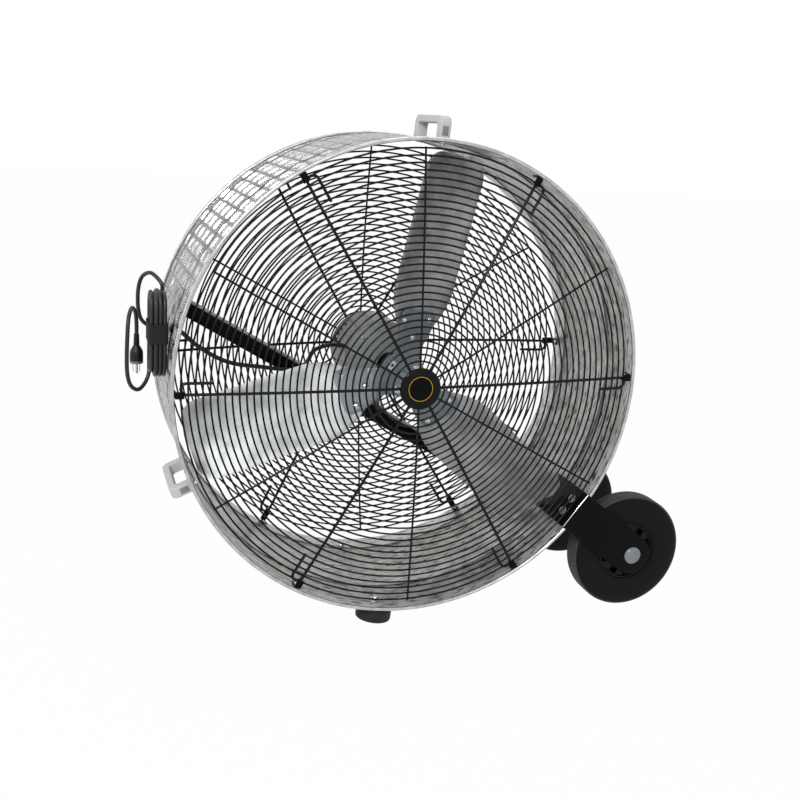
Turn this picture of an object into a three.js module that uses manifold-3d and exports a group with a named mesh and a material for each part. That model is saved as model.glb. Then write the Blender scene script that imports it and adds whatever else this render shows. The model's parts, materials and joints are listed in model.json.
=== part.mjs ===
/**
 * A 36 inch portable drum fan on two wheels and two rubber feet.
 *
 * Millimetres, +Z up, +Y to the rear (air blows out at the front, toward -Y). The origin is on the
 * floor, under the middle of the fan. Inside the fan, everything is measured from the drum's axis:
 * y = 0 is the front rim, and an angle runs counterclockwise from +X as the front is seen. The
 * local frame of a piece at an angle has x outward, y to the rear and z along the wall.
 */
import * as THREE from "three";
import { mergeVertices } from "three/addons/utils/BufferGeometryUtils.js";
import Module from "manifold-3d";

const wasm = await Module();
wasm.setup();

// ---------- Driving dimensions ----------

const GAP = 0.3; // clearance between neighbouring pieces

const DRUM_R = 482.6; // over the rolled beads: a 38 inch drum for 36 inch blades
const DRUM_DEPTH = 390;
const DRUM_SHEET = 2.4;
const BEAD_D = 8;
const BEAD_POINTS = 5;
const SWAGE_WIDTH = 12;
const SWAGE_DEPTH = 3;
const SWAGE_FRONT = 110; // from the front rim
const SWAGE_REAR = 64; // from the rear rim
const DRUM_FACETS = 48;

const GUARD_PHASE = 1.5; // angle of the first rib
const RIBS = 12; // every second one is heavy
const RING_WIRE = 2.2; // wire radii
const THIN_RIB_WIRE = 2.2;
const HEAVY_RIB_WIRE = 3;
const GUARD_PLATE_R = 36;
const GUARD_PLATE = 2.5;
const WELD = 1; // depth to which crossing wires melt into each other
const FRONT_RING_Y = 14;
const FRONT_RISE = 22;
const FRONT_PITCH = 46;
const REAR_RING_GAP = 21.28; // outer ring of the rear guard, from the inner wall
const REAR_RING_INSET = 6; // from the rear rim
const REAR_RISE = 54;
const REAR_PITCH = 58;
const RING_FACETS = 24;
const BADGE_R = 42;
const BADGE_DEPTH = 5;

const CLIP_WIDTH = 14;
const CLIP_SHEET = 1.6;
const CLIP_LEG = 26;
const CLIP_REACH = 6; // past the wire's centre
const CLIP_SCREW_R = 5;
const CLIP_SCREW_HEAD = 4;

const SHAFT_R = 7.94;
const SHAFT_FRONT = 92;
const BLADES = 3;
const BLADE_ANGLE = 78; // angle of the first blade
const BLADE_Y = 110;
const BLADE_PITCH = 25;
const BLADE_SHEET = 2.5;
const BLADE_ROOT = 66;
const BLADE_ROOT_HALF = 22;
const BLADE_FULL = 190; // radius from which the blade has its full width
const BLADE_HALF = 82.75;
const BLADE_CORNER = 40;
const BLADE_CAMBER = 10;
const BLADE_CAMBER_RUN = 40; // past the full width, to the full camber
const TIP_CLEARANCE = 18.6; // to the drum wall
const SPIDER_SHEET = 4;
const SPIDER_DISC_R = 48;
const SPIDER_END = 138;
const SPIDER_HALF = 47;
const RIVET_R = 4;
const RIVET_HEAD_R = 7.5;
const RIVET_HEAD = 3;
const RIVET_PLACES = [[80, 0], [112, 33], [121, -35]]; // along the arm, across it
const HUB_R = 22;
const HUB_MOTOR_GAP = 45;
const HUB_FLANGE_R = 40;
const HUB_FLANGE = 7;
const HUB_BOLT_CIRCLE = 31;
const HUB_BOLT_R = 4;
const HUB_BOLT_HEAD_R = 7;
const HUB_BOLT_HEAD = 5;
const SLINGER_R = 27;
const SLINGER_DEPTH = 5;
const SLINGER_HUB_GAP = 5;

const MOTOR_R = 82.5;
const MOTOR_INSET = 135; // front of the shell, from the rear rim
const MOTOR_LENGTH = 130;
const MOTOR_NOSE = 20;
const MOTOR_NOSE_R = 58;
const MOTOR_TAIL = 20;
const MOTOR_TAIL_R = 60;
const MOTOR_BASE_HEIGHT = 17.2; // from the shell to the channel
const MOTOR_BASE_HALF = 75;
const MOTOR_BASE_LENGTH = 50;
const MOTOR_BASE_PLATE = 5;
const MOTOR_NECK_HALF = 50;
const MOTOR_FACETS = 24;

const CHANNEL_ANGLE = 240.6; // direction from the axis to the channel's web
const CHANNEL_WIDTH = 74;
const CHANNEL_SHEET = 4;
const CHANNEL_FLANGE = 29;
const CHANNEL_LEAD = 17; // ahead of the motor's shell
const TAB_LENGTH = 44;
const TAB_WIDTH = 60;
const CHANNEL_BOLT_R = 5;

const HANDLE_ANGLES = { top: 86, side: 205 };
const HANDLE_Y = 120; // middle of a handle
const HANDLE_LENGTH = 162;
const HANDLE_WIDTH = 22;
const HANDLE_HEIGHT = 46;
const HANDLE_LEG = 22;
const HANDLE_GRIP = 15;
const HANDLE_OUTER_FILLET = 18;
const HANDLE_INNER_FILLET = 9;
const HANDLE_SCREW_R = 3;
const HANDLE_SCREW_DEPTH = 16;

const WHEEL_R = 127; // 10 inch wheels
const TYRE_WIDTH = 45;
const TYRE_SHOULDER = 6;
const TYRE_SIDE_R = 112;
const TREAD_GROOVE = 4.5;
const TREAD_GROOVE_HALF = 1.5;
const TREAD_GROOVE_AT = 6.5; // from the middle of the tread
const RIM_R = 65;
const RIM_WIDTH = 38;
const RIM_SHEET = 6;
const WHEEL_HUB_R = 19;
const WHEEL_WINDOWS = 6;
const WINDOW_R = 11;
const WHEEL_MID = 41; // middle of the tyre, from the rim of the drum
const WHEEL_HUB_INNER = 24; // hub, from the middle of the tyre toward the other wheel
const WHEEL_FACETS = 24;
const WHEEL_ANGLE = 323.4;
const AXLE_R = 7.94;
const AXLE_END = 5; // past the cheek
const AXLE_TUBE_R = 13;
const CAP_R = 19;
const CAP_DEPTH = 9;
const CAP_RIM = 4;

const BRACKET_WIDTH = 88;
const BRACKET_SHEET = 4;
const BRACKET_LEG_FRONT = 140; // front bracket's leg, from the rim
const BRACKET_CHANNEL_GAP = 6; // between the rear bracket's leg and the channel
const BRACKET_BEND = 2; // inner radius
const BRACKET_RIM_GAP = 0.5;
const BRACKET_BOLT_Y = 31;
const BRACKET_BOLT_SIDE = 16;
const BRACKET_BOLT_R = 4;

const FOOT_ANGLE = 264.3;
const FOOT_R = 37.5;
const FOOT_HEIGHT = 37.26; // off the drum
const FOOT_INSET = 46; // from each rim
const FOOT_RECESS_R = 14;
const FOOT_RECESS = 16;
const FOOT_FACETS = 16;
const FOOT_BOLT_R = 4;
const FOOT_BOLT_HEAD = 5;

const GLAND_ANGLE = 170.5;
const GLAND_Y = 192;
const GLAND_R = 12;
const GLAND_OUT = 16;
const GLAND_IN = 7;
const GLAND_THREAD_R = 9;

const CORD_R = 4;
const LEAD_R = 4.5;
const HANK_LAYERS = 4; // strands side by side, away from the drum
const HANK_RUN = 100;
const HANK_FOLD_R = 32; // centreline of the outer strands at a fold
const HANK_STANDOFF = 3.7; // off the drum
const HANK_Y = 111;
const HANK_BOTTOM_FOLD_Z = 36;
const STRAP_WIDTH = 38;
const STRAP_SHEET = 2;
const STRAP_Z = 70;
const PLUG_PLACE = [-35, 46, 74]; // top of the boot, from the hank's middle and the drum's axis
const PLUG_BOOT = 26;
const PLUG_BOOT_R = 6.5;
const PLUG_BODY = 32;
const PLUG_BODY_R = 13;
const PLUG_BLADE = 17;
const PLUG_BLADE_WIDTH = 6.4;
const PLUG_BLADE_SHEET = 1.6;
const PLUG_BLADE_SPACING = 12.7;
const PLUG_PIN_R = 2.4;

const BOLT_FACETS = 6;
const SCREW_HEAD = 4;
const BOLT_DOME = 3.5;
const BOLT_NUT = 7;
const BOLT_END = 9;

// ---------- Sizes worked out from them ----------

const rad = THREE.MathUtils.degToRad;
const deg = THREE.MathUtils.radToDeg;

const WALL_IN = DRUM_R - BEAD_D;
const WALL_OUT = WALL_IN + DRUM_SHEET;
const INNER_SEAT = WALL_IN * Math.cos(Math.PI / DRUM_FACETS) - GAP;
const OUTER_SEAT = WALL_OUT + GAP;
const BLADE_TIP = WALL_IN - TIP_CLEARANCE;
const REAR_RING_R = INNER_SEAT - REAR_RING_GAP;
const REAR_RING_Y = DRUM_DEPTH - REAR_RING_INSET;
const MOTOR_FRONT = DRUM_DEPTH - MOTOR_INSET;
const MOTOR_REAR = MOTOR_FRONT + MOTOR_LENGTH;
const HUB_REAR = MOTOR_FRONT - MOTOR_NOSE - HUB_MOTOR_GAP;
const CHANNEL_FRONT = MOTOR_FRONT - CHANNEL_LEAD;
const CHANNEL_WEB = MOTOR_R + MOTOR_BASE_HEIGHT + GAP;
const CHANNEL_MID = CHANNEL_FRONT + CHANNEL_WIDTH / 2;
const CHEEK_FACE = -BRACKET_RIM_GAP - BRACKET_SHEET; // front of the front cheek
const FOOT_FACE = OUTER_SEAT + FOOT_HEIGHT;
const FOOT_LEAN = 270 - FOOT_ANGLE;
const FLOOR_DROP = FOOT_FACE * Math.cos(rad(FOOT_LEAN)) + FOOT_R * Math.sin(rad(FOOT_LEAN));
const AXLE_DROP = FLOOR_DROP - WHEEL_R;
const AXLE_RADIUS = -AXLE_DROP / Math.sin(rad(WHEEL_ANGLE)); // axle, from the axis of the drum
const SPIDER_Y = -(BLADE_SHEET / 2 + GAP + SPIDER_SHEET); // front of an arm, from the blade's middle
const DISC_FRONT = BLADE_Y + SPIDER_Y;
const DISC_REAR = DISC_FRONT + SPIDER_SHEET;
const HANK_HALF_X = HANK_LAYERS * CORD_R;
const HANK_HALF_Y = HANK_FOLD_R + CORD_R;
const HANK_X = -(OUTER_SEAT + HANK_STANDOFF + HANK_HALF_X);
const PLUG_TOP = [HANK_X + PLUG_PLACE[0], HANK_Y + PLUG_PLACE[1], PLUG_PLACE[2]];
/** Past the middle of a fold: where a strand that runs straight on has left the hank's outline. */
const HANK_CLEAR = Math.sqrt(HANK_HALF_Y ** 2 - (HANK_HALF_Y - 2 * CORD_R) ** 2) + GAP;

/** Outermost x of a flat inside piece that is 2 * half wide, clear of the curved wall or a swage. */
const innerFlat = (half, swage = 0) => Math.sqrt((INNER_SEAT - swage) ** 2 - half ** 2);

// ---------- Solids ----------

/** A closed geometry as a manifold-3d solid with its faces outward. */
function solidOf(geometry) {
  const bare = new THREE.BufferGeometry();
  bare.setAttribute("position", geometry.getAttribute("position"));
  bare.setIndex(geometry.index);
  const merged = mergeVertices(bare, 1e-4);
  const corners = merged.index.array;
  const build = (swap) => {
    const faces = [];
    for (let i = 0; i < corners.length; i += 3) {
      const [a, b, c] = corners.slice(i, i + 3);
      if (a !== b && b !== c && c !== a) faces.push(a, swap ? c : b, swap ? b : c);
    }
    const mesh = new wasm.Mesh({
      numProp: 3,
      vertProperties: new Float32Array(merged.attributes.position.array),
      triVerts: new Uint32Array(faces),
    });
    return new wasm.Manifold(mesh);
  };
  const solid = build(false);
  return solid.volume() < 0 ? build(true) : solid;
}

const asSolid = (shape) => (shape.isBufferGeometry ? solidOf(shape) : shape);
const join = (...shapes) => wasm.Manifold.union(shapes.map(asSolid));
const cut = (base, ...tools) => asSolid(base).subtract(join(...tools));
const common = (a, b) => asSolid(a).intersect(asSolid(b));

/** A solid as a flat-shaded geometry. */
function geometryOf(solid) {
  const mesh = solid.getMesh();
  const positions = new Float32Array(mesh.numVert * 3);
  for (let i = 0; i < mesh.numVert; i++) {
    const start = i * mesh.numProp;
    positions.set(mesh.vertProperties.subarray(start, start + 3), i * 3);
  }
  const indexed = new THREE.BufferGeometry();
  indexed.setAttribute("position", new THREE.BufferAttribute(positions, 3));
  indexed.setIndex(new THREE.BufferAttribute(mesh.triVerts, 1));
  const flat = indexed.toNonIndexed();
  flat.computeVertexNormals();
  return flat;
}

/** A profile of [radius, y] pairs turned about the y axis. */
function revolve(profile, facets) {
  const points = profile.map(([r, y]) => new THREE.Vector2(r, y));
  const onAxis = profile[0][0] === 0;
  return new THREE.LatheGeometry(onAxis ? points : [...points, points[0]], facets);
}

/** A profile of [radius, x] pairs turned about the x axis. */
const revolveX = (profile, facets) => revolve(profile, facets).rotateZ(-Math.PI / 2);

/** A round bar along y. */
const rodY = (radius, from, to, facets) =>
  revolve([[0, from], [radius, from], [radius, to], [0, to]], facets);

/** A round bar along x. */
const rodX = (radius, from, to, facets = BOLT_FACETS) =>
  revolveX([[0, from], [radius, from], [radius, to], [0, to]], facets);

/** A THREE.Shape through [a, b] pairs. */
const outline = (pairs) => new THREE.Shape(pairs.map(([a, b]) => new THREE.Vector2(a, b)));

/** An (x, y) shape extruded along z. */
function prismZ(shape, from, to, curveSegments = 3) {
  const options = { depth: to - from, bevelEnabled: false, curveSegments };
  return new THREE.ExtrudeGeometry(shape, options).translate(0, 0, from);
}

/** An (x, z) shape extruded along y. */
const prismY = (shape, from, to, curveSegments = 3) =>
  prismZ(shape, 0, to - from, curveSegments).rotateX(Math.PI / 2).translate(0, to, 0);

/** A box from corner to corner. */
function block([x0, y0, z0], [x1, y1, z1]) {
  const box = new THREE.BoxGeometry(x1 - x0, y1 - y0, z1 - z0);
  return box.translate((x0 + x1) / 2, (y0 + y1) / 2, (z0 + z1) / 2);
}

/** A regular polygon as [a, b] pairs. */
const polygon = (radius, sides, a = 0, b = 0) =>
  Array.from({ length: sides }, (_, i) => {
    const turn = (2 * Math.PI * i) / sides;
    return [a + radius * Math.cos(turn), b + radius * Math.sin(turn)];
  });

/** A round wire along a curve. */
function wire(curve, radius, sides, steps) {
  const options = { steps, extrudePath: curve, bevelEnabled: false };
  return new THREE.ExtrudeGeometry(outline(polygon(radius, sides)), options);
}

/** A smooth curve through [x, y, z] triples. */
const curveThrough = (points) =>
  new THREE.CatmullRomCurve3(points.map((p) => new THREE.Vector3(...p)), false, "centripetal");

/** A skin over equal rings of points, closed by a flat cap at each end. */
function loft(sections) {
  const count = sections[0].length;
  const positions = sections.flat().flatMap((p) => p);
  const faces = [];
  for (let s = 0; s < sections.length - 1; s++) {
    for (let i = 0; i < count; i++) {
      const a = s * count + i;
      const b = s * count + ((i + 1) % count);
      faces.push(a, b, b + count, a, b + count, a + count);
    }
  }
  const half = count / 2;
  const cap = (start, flip) => {
    for (let i = 0; i < half - 1; i++) {
      const quad = [i, i + 1, count - 2 - i, count - 1 - i].map((n) => start + n);
      const [a, b, c, d] = flip ? quad.reverse() : quad;
      faces.push(a, c, b, a, d, c);
    }
  };
  cap(0, false);
  cap((sections.length - 1) * count, true);
  const geometry = new THREE.BufferGeometry();
  geometry.setAttribute("position", new THREE.Float32BufferAttribute(positions, 3));
  return geometry.setIndex(faces);
}

/** A local shape carried to its angle on the drum. */
const around = (geometry, angle, y = 0, z = 0) =>
  geometry.translate(0, y, z).rotateY(-rad(angle));

// ---------- Scene graph ----------

const metal = (color, roughness) =>
  new THREE.MeshStandardMaterial({ color, roughness, metalness: 1 });
const coated = (color, roughness) =>
  new THREE.MeshStandardMaterial({ color, roughness, metalness: 0 });

const FINISH = {
  treadSheet: metal("#b9b9b5", 0.45),
  blackWire: coated("#16171a", 0.35),
  blackPaint: coated("#1b1c1e", 0.35),
  zinc: metal("#c9cbcc", 0.35),
  bladeGrey: metal("#9aa0a5", 0.4),
  spiderGrey: coated("#6f7f92", 0.45),
  motorGrey: coated("#8f9498", 0.5),
  motorBlack: coated("#222326", 0.45),
  greyPlastic: coated("#cfcfcd", 0.45),
  capGrey: coated("#8c9498", 0.4),
  rubber: coated("#232426", 0.85),
  cordGrey: coated("#3b3c3e", 0.6),
};

/** A named mesh, placed in the local frame of an angle when one is given. */
function piece(name, shape, finish, { angle = 0, y = 0, z = 0 } = {}) {
  const mesh = new THREE.Mesh(geometryOf(asSolid(shape)), finish);
  mesh.name = name;
  mesh.position.set(0, y, 0);
  mesh.rotation.y = -rad(angle);
  mesh.translateZ(z);
  return mesh;
}

// ---------- Fasteners through the drum wall ----------

/** A screw from inside: pan head, then a shank out to its end. */
const screwFromInside = (shank, end) =>
  revolveX([[0, INNER_SEAT - SCREW_HEAD], [2 * shank, INNER_SEAT - SCREW_HEAD], [2 * shank, INNER_SEAT],
    [shank, INNER_SEAT], [shank, end], [0, end]], BOLT_FACETS);

/** A carriage bolt from outside, with its nut against an inner piece whose face is at nutSeat. */
const boltFromOutside = (shank, nutSeat) =>
  revolveX([[0, nutSeat - BOLT_END], [1.9 * shank, nutSeat - BOLT_NUT], [1.9 * shank, nutSeat - GAP],
    [shank, nutSeat - GAP], [shank, OUTER_SEAT], [2 * shank, OUTER_SEAT],
    [1.4 * shank, OUTER_SEAT + BOLT_DOME], [0, OUTER_SEAT + BOLT_DOME]], BOLT_FACETS);

const BRACKET_LEG_X = innerFlat(BRACKET_WIDTH / 2, SWAGE_DEPTH);
const BRACKET_LEG_REAR = DRUM_DEPTH - CHANNEL_FRONT - CHANNEL_WIDTH - BRACKET_CHANNEL_GAP;
const FRONT_RING_R = BRACKET_LEG_X - BRACKET_SHEET - RING_WIRE - GAP;
const TAB_X = innerFlat(TAB_LENGTH / 2);
const TAB_TURN = deg(Math.acos((CHANNEL_WEB + CHANNEL_SHEET) / INNER_SEAT) + TAB_LENGTH / 2 / INNER_SEAT);
const HANDLE_SCREW_Y = HANDLE_LENGTH / 2 - HANDLE_LEG / 2;
const ENDS = [["front", 1], ["rear", -1]];

/** Distance from the front rim of a place that is inset from the front or the rear rim. */
const fromRim = (inset, side) => (side > 0 ? inset : DRUM_DEPTH - inset);

/** Every fastener that passes the wall: where it is, its shank radius and its solid. */
const WALL_FASTENERS = [
  ...Object.entries(HANDLE_ANGLES).flatMap(([place, angle]) =>
    [-1, 1].map((side, i) => ({
      name: `handle_screw_${place}_${i + 1}`, angle, y: HANDLE_Y + side * HANDLE_SCREW_Y, z: 0,
      shank: HANDLE_SCREW_R, shape: () => screwFromInside(HANDLE_SCREW_R, OUTER_SEAT + HANDLE_SCREW_DEPTH),
    }))),
  ...ENDS.flatMap(([place, side]) =>
    [-1, 1].map((across, i) => ({
      name: `bracket_bolt_${place}_${i + 1}`, angle: WHEEL_ANGLE, y: fromRim(BRACKET_BOLT_Y, side),
      z: across * BRACKET_BOLT_SIDE, shank: BRACKET_BOLT_R,
      shape: () => boltFromOutside(BRACKET_BOLT_R, BRACKET_LEG_X - BRACKET_SHEET),
    }))),
  ...[-1, 1].map((side, i) => ({
    name: `channel_bolt_${i + 1}`, angle: CHANNEL_ANGLE - side * TAB_TURN, y: CHANNEL_MID, z: 0,
    shank: CHANNEL_BOLT_R, shape: () => boltFromOutside(CHANNEL_BOLT_R, TAB_X - CHANNEL_SHEET),
  })),
  ...ENDS.map(([place, side]) => ({
    name: `foot_bolt_${place}`, angle: FOOT_ANGLE, y: fromRim(FOOT_INSET, side), z: 0,
    shank: FOOT_BOLT_R, shape: footBolt,
  })),
];

/** Foot bolt: head in the foot's recess, nut on the inner wall. */
function footBolt() {
  const seat = FOOT_FACE - FOOT_RECESS + GAP;
  return revolveX([[0, INNER_SEAT - BOLT_END], [1.9 * FOOT_BOLT_R, INNER_SEAT - BOLT_NUT],
    [1.9 * FOOT_BOLT_R, INNER_SEAT], [FOOT_BOLT_R, INNER_SEAT], [FOOT_BOLT_R, seat],
    [2 * FOOT_BOLT_R, seat], [2 * FOOT_BOLT_R, seat + FOOT_BOLT_HEAD], [0, seat + FOOT_BOLT_HEAD]], BOLT_FACETS);
}

// ---------- Drum ----------

/** One bead, rolled outward from the inner wall round to the outer face of the sheet. */
function beadPoints(side) {
  const r = BEAD_D / 2;
  const middle = DRUM_R - r;
  const [start, end] = [Math.PI, 3 * Math.PI - Math.acos((middle - WALL_OUT) / r)];
  return Array.from({ length: BEAD_POINTS }, (_, i) => {
    const turn = start + ((end - start) * i) / (BEAD_POINTS - 1);
    const y = r + r * Math.sin(turn);
    return [middle + r * Math.cos(turn), side > 0 ? y : DRUM_DEPTH - y];
  });
}

/** A swage of one face of the sheet, front to rear. */
const swagePoints = (face, middle) => [
  [face, middle - SWAGE_WIDTH / 2],
  [face - SWAGE_DEPTH, middle],
  [face, middle + SWAGE_WIDTH / 2],
];

function drumShell() {
  const swages = [SWAGE_FRONT, DRUM_DEPTH - SWAGE_REAR];
  const outside = swages.flatMap((middle) => swagePoints(WALL_OUT, middle));
  const inside = swages.flatMap((middle) => swagePoints(WALL_IN, middle)).reverse();
  const profile = [...beadPoints(1), ...outside, ...beadPoints(-1).reverse(), ...inside];
  const holes = WALL_FASTENERS.map(({ angle, y, z, shank }) =>
    around(rodX(shank + GAP, WALL_IN - BEAD_D, WALL_OUT + BEAD_D), angle, y, z));
  const glandHole = around(rodX(GLAND_THREAD_R + GAP, WALL_IN - BEAD_D, WALL_OUT + BEAD_D, 12),
    GLAND_ANGLE, GLAND_Y);
  return cut(revolve(profile, DRUM_FACETS), ...holes, glandHole);
}

// ---------- Guards ----------

/** Distance from the front rim of the rings' wires, at a radius of a dished guard. */
const guardSurface = ({ ringR, ringY, rise, side }, r) => ringY - side * rise * (1 - (r / ringR) ** 2);

/** How far the middle of a rib lies outside the middle of the rings. */
const ribLift = (radius) => RING_WIRE + radius - WELD;
const HEAVY_RIB_FACE = ribLift(HEAVY_RIB_WIRE) + HEAVY_RIB_WIRE;

/** A dished wire guard that bulges to the front (side 1) or to the rear (side -1). */
function guard(size) {
  const { ringR, pitch, side } = size;
  const surface = (r) => guardSurface(size, r);
  const rings = [];
  for (let r = ringR; r > GUARD_PLATE_R + pitch / 2; r -= pitch) {
    const section = polygon(RING_WIRE, 3).map(([a, b]) => [r + b, surface(r) - side * a]);
    rings.push(around(revolve(section, RING_FACETS), GUARD_PHASE + 180 / RING_FACETS));
  }
  const ribs = Array.from({ length: RIBS }, (_, i) => {
    const radius = i % 2 ? THIN_RIB_WIRE : HEAVY_RIB_WIRE;
    const lift = side * ribLift(radius);
    const stops = [GUARD_PLATE_R - HEAVY_RIB_WIRE, 0.35 * ringR, 0.7 * ringR, ringR + radius];
    const path = curveThrough(stops.map((r) => [r, surface(r) - lift, 0]));
    return around(wire(path, radius, 4, 4), GUARD_PHASE + (i * 360) / RIBS);
  });
  const face = surface(0) - side * HEAVY_RIB_FACE;
  const ends = [face, face + side * GUARD_PLATE].sort((a, b) => a - b);
  return join(...rings, ...ribs, rodY(GUARD_PLATE_R, ...ends, RING_FACETS));
}

const FRONT_GUARD = { ringR: FRONT_RING_R, ringY: FRONT_RING_Y, rise: FRONT_RISE, pitch: FRONT_PITCH, side: 1 };
const REAR_GUARD = { ringR: REAR_RING_R, ringY: REAR_RING_Y, rise: REAR_RISE, pitch: REAR_PITCH, side: -1 };
const BADGE_SEAT = guardSurface(FRONT_GUARD, 0) - HEAVY_RIB_FACE - GAP;
const REAR_GUARD_END = guardSurface(REAR_GUARD, 0) + HEAVY_RIB_FACE;

/** Round badge of the front guard: a raised rim about a bare, sunken middle. */
const badge = () =>
  revolve([[0, 0], [BADGE_R, 0], [BADGE_R, -0.5 * BADGE_DEPTH], [0.9 * BADGE_R, -BADGE_DEPTH],
    [0.6 * BADGE_R, -BADGE_DEPTH], [0.55 * BADGE_R, -0.6 * BADGE_DEPTH], [0, -0.6 * BADGE_DEPTH]], RING_FACETS);

/** Guard clip: a leg on the wall, and a hook past the end of a heavy rib. */
function clip(size) {
  const { side } = size;
  const wall = innerFlat(CLIP_WIDTH / 2);
  const reach = size.ringR - CLIP_REACH;
  const inner = guardSurface(size, reach) - side * (HEAVY_RIB_FACE + GAP);
  const outer = inner - side * CLIP_SHEET;
  const end = inner + side * CLIP_LEG;
  const hook = [[wall, outer], [wall, end], [wall - CLIP_SHEET, end], [wall - CLIP_SHEET, inner],
    [reach, inner], [reach, outer]];
  const head = rodX(CLIP_SCREW_R, wall - CLIP_SHEET - CLIP_SCREW_HEAD, wall - CLIP_SHEET / 2);
  const screwY = end - side * CLIP_LEG * 0.3;
  return join(prismZ(outline(hook), -CLIP_WIDTH / 2, CLIP_WIDTH / 2), head.translate(0, screwY, 0));
}

// ---------- Rotor ----------

/** Half width of a blade at a radius: it widens from the root, then rounds off at the tip. */
function bladeHalf(r) {
  const fromTip = Math.max(0, r - (BLADE_TIP - BLADE_CORNER));
  if (fromTip > 0) return BLADE_HALF - BLADE_CORNER + Math.sqrt(BLADE_CORNER ** 2 - fromTip ** 2);
  const t = Math.min(1, (r - BLADE_ROOT) / (BLADE_FULL - BLADE_ROOT));
  return BLADE_ROOT_HALF + (BLADE_HALF - BLADE_ROOT_HALF) * Math.sin((t * Math.PI) / 2);
}

/** Camber of a blade at a radius: flat where it lies on the spider. */
const bladeCamber = (r) => BLADE_CAMBER * THREE.MathUtils.smoothstep(r, SPIDER_END, BLADE_FULL + BLADE_CAMBER_RUN);

/** Ring of section points across a sheet: its front face, then its rear face back again. */
function sheetSection(r, half, frontY, sheet, bulge, chords) {
  const across = Array.from({ length: chords + 1 }, (_, i) => -1 + (2 * i) / chords);
  const front = across.map((t) => [r, frontY + bulge * (1 - t * t), half * t]);
  const rear = across.toReversed().map((t) => [r, frontY + sheet + bulge * (1 - t * t), half * t]);
  return [...front, ...rear];
}

function blade() {
  const cornerStart = BLADE_TIP - BLADE_CORNER;
  const corner = [0, 0.5, 0.8, 0.95, 1].map((t) => cornerStart + t * BLADE_CORNER);
  const body = [0, 0.35, 0.7, 1].map((t) => BLADE_ROOT + t * (BLADE_FULL - BLADE_ROOT));
  const middle = (BLADE_FULL + cornerStart) / 2;
  const stations = [...body, BLADE_FULL + BLADE_CAMBER_RUN, middle, ...corner];
  const sections = stations.map((r) =>
    sheetSection(r, bladeHalf(r), -BLADE_SHEET / 2, BLADE_SHEET, bladeCamber(r), 4));
  const holes = RIVET_PLACES.map(([along, across]) =>
    rodY(RIVET_R + GAP, -BLADE_SHEET, BLADE_SHEET, BOLT_FACETS).translate(along, 0, across));
  return cut(loft(sections), ...holes);
}

/** One arm of the spider in the frame of the drum, twisted from the disc to the blade's pitch. */
function spiderArm(index) {
  const stations = [[HUB_R, 26, 0], [SPIDER_DISC_R, 28, 0.35], [BLADE_ROOT - 2, 33, 1],
    [(BLADE_ROOT + SPIDER_END) / 2, SPIDER_HALF, 1], [SPIDER_END - 8, SPIDER_HALF, 1],
    [SPIDER_END, SPIDER_HALF - 10, 1]];
  const sections = stations.map(([r, half, twist]) => {
    const turn = rad(BLADE_PITCH * twist);
    return sheetSection(r, half, SPIDER_Y, SPIDER_SHEET, 0, 1).map(([x, y, z]) =>
      [x, y * Math.cos(turn) - z * Math.sin(turn), y * Math.sin(turn) + z * Math.cos(turn)]);
  });
  const rear = BLADE_SHEET / 2 + GAP;
  const rivets = RIVET_PLACES.map(([along, across]) =>
    revolve([[0, SPIDER_Y - RIVET_HEAD], [RIVET_HEAD_R, SPIDER_Y + 1], [RIVET_R, SPIDER_Y + 1],
      [RIVET_R, rear], [RIVET_HEAD_R, rear], [0, rear + RIVET_HEAD]], BOLT_FACETS)
      .translate(along, 0, across).rotateX(rad(BLADE_PITCH)));
  const arm = join(loft(sections), ...rivets);
  return arm.translate([0, BLADE_Y, 0]).rotate([0, -(BLADE_ANGLE + (index * 360) / BLADES), 0]);
}

/** Where the hub bolts stand: between the arms. */
const hubBoltAngle = (index) => BLADE_ANGLE + ((index + 0.5) * 360) / BLADES;

function spider() {
  const disc = rodY(SPIDER_DISC_R, DISC_FRONT, DISC_REAR, 24);
  const arms = Array.from({ length: BLADES }, (_, i) => spiderArm(i));
  const bore = rodY(SHAFT_R + GAP, DISC_FRONT - 2 * SPIDER_SHEET, DISC_REAR + 2 * SPIDER_SHEET, 16);
  const holes = Array.from({ length: BLADES }, (_, i) =>
    around(rodY(HUB_BOLT_R + GAP, DISC_FRONT - SPIDER_HALF, DISC_REAR + SPIDER_HALF, BOLT_FACETS)
      .translate(HUB_BOLT_CIRCLE, 0, 0), hubBoltAngle(i)));
  const front = rodY(HUB_FLANGE_R + 2, DISC_FRONT - SPIDER_HALF, DISC_FRONT, 24);
  const rear = rodY(HUB_FLANGE_R + 2, DISC_REAR, DISC_REAR + SPIDER_HALF, 24);
  return cut(join(disc, ...arms), bore, ...holes, front, rear);
}

function hub() {
  const flangeFront = DISC_REAR + GAP;
  const flangeRear = flangeFront + HUB_FLANGE;
  const body = revolve([[SHAFT_R + GAP, flangeFront], [HUB_FLANGE_R, flangeFront],
    [HUB_FLANGE_R, flangeRear], [HUB_R, flangeRear + 4], [HUB_R, HUB_REAR],
    [SHAFT_R + GAP, HUB_REAR]], 16);
  const head = DISC_FRONT - GAP;
  const bolts = Array.from({ length: BLADES }, (_, i) =>
    around(revolve([[0, head - HUB_BOLT_HEAD], [HUB_BOLT_HEAD_R, head - HUB_BOLT_HEAD],
      [HUB_BOLT_HEAD_R, head], [HUB_BOLT_R, head], [HUB_BOLT_R, flangeFront + 2], [0, flangeFront + 2]],
    BOLT_FACETS).translate(HUB_BOLT_CIRCLE, 0, 0), hubBoltAngle(i)));
  return join(body, ...bolts);
}

const SHAFT_REAR = MOTOR_FRONT - 2 * GAP;

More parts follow.
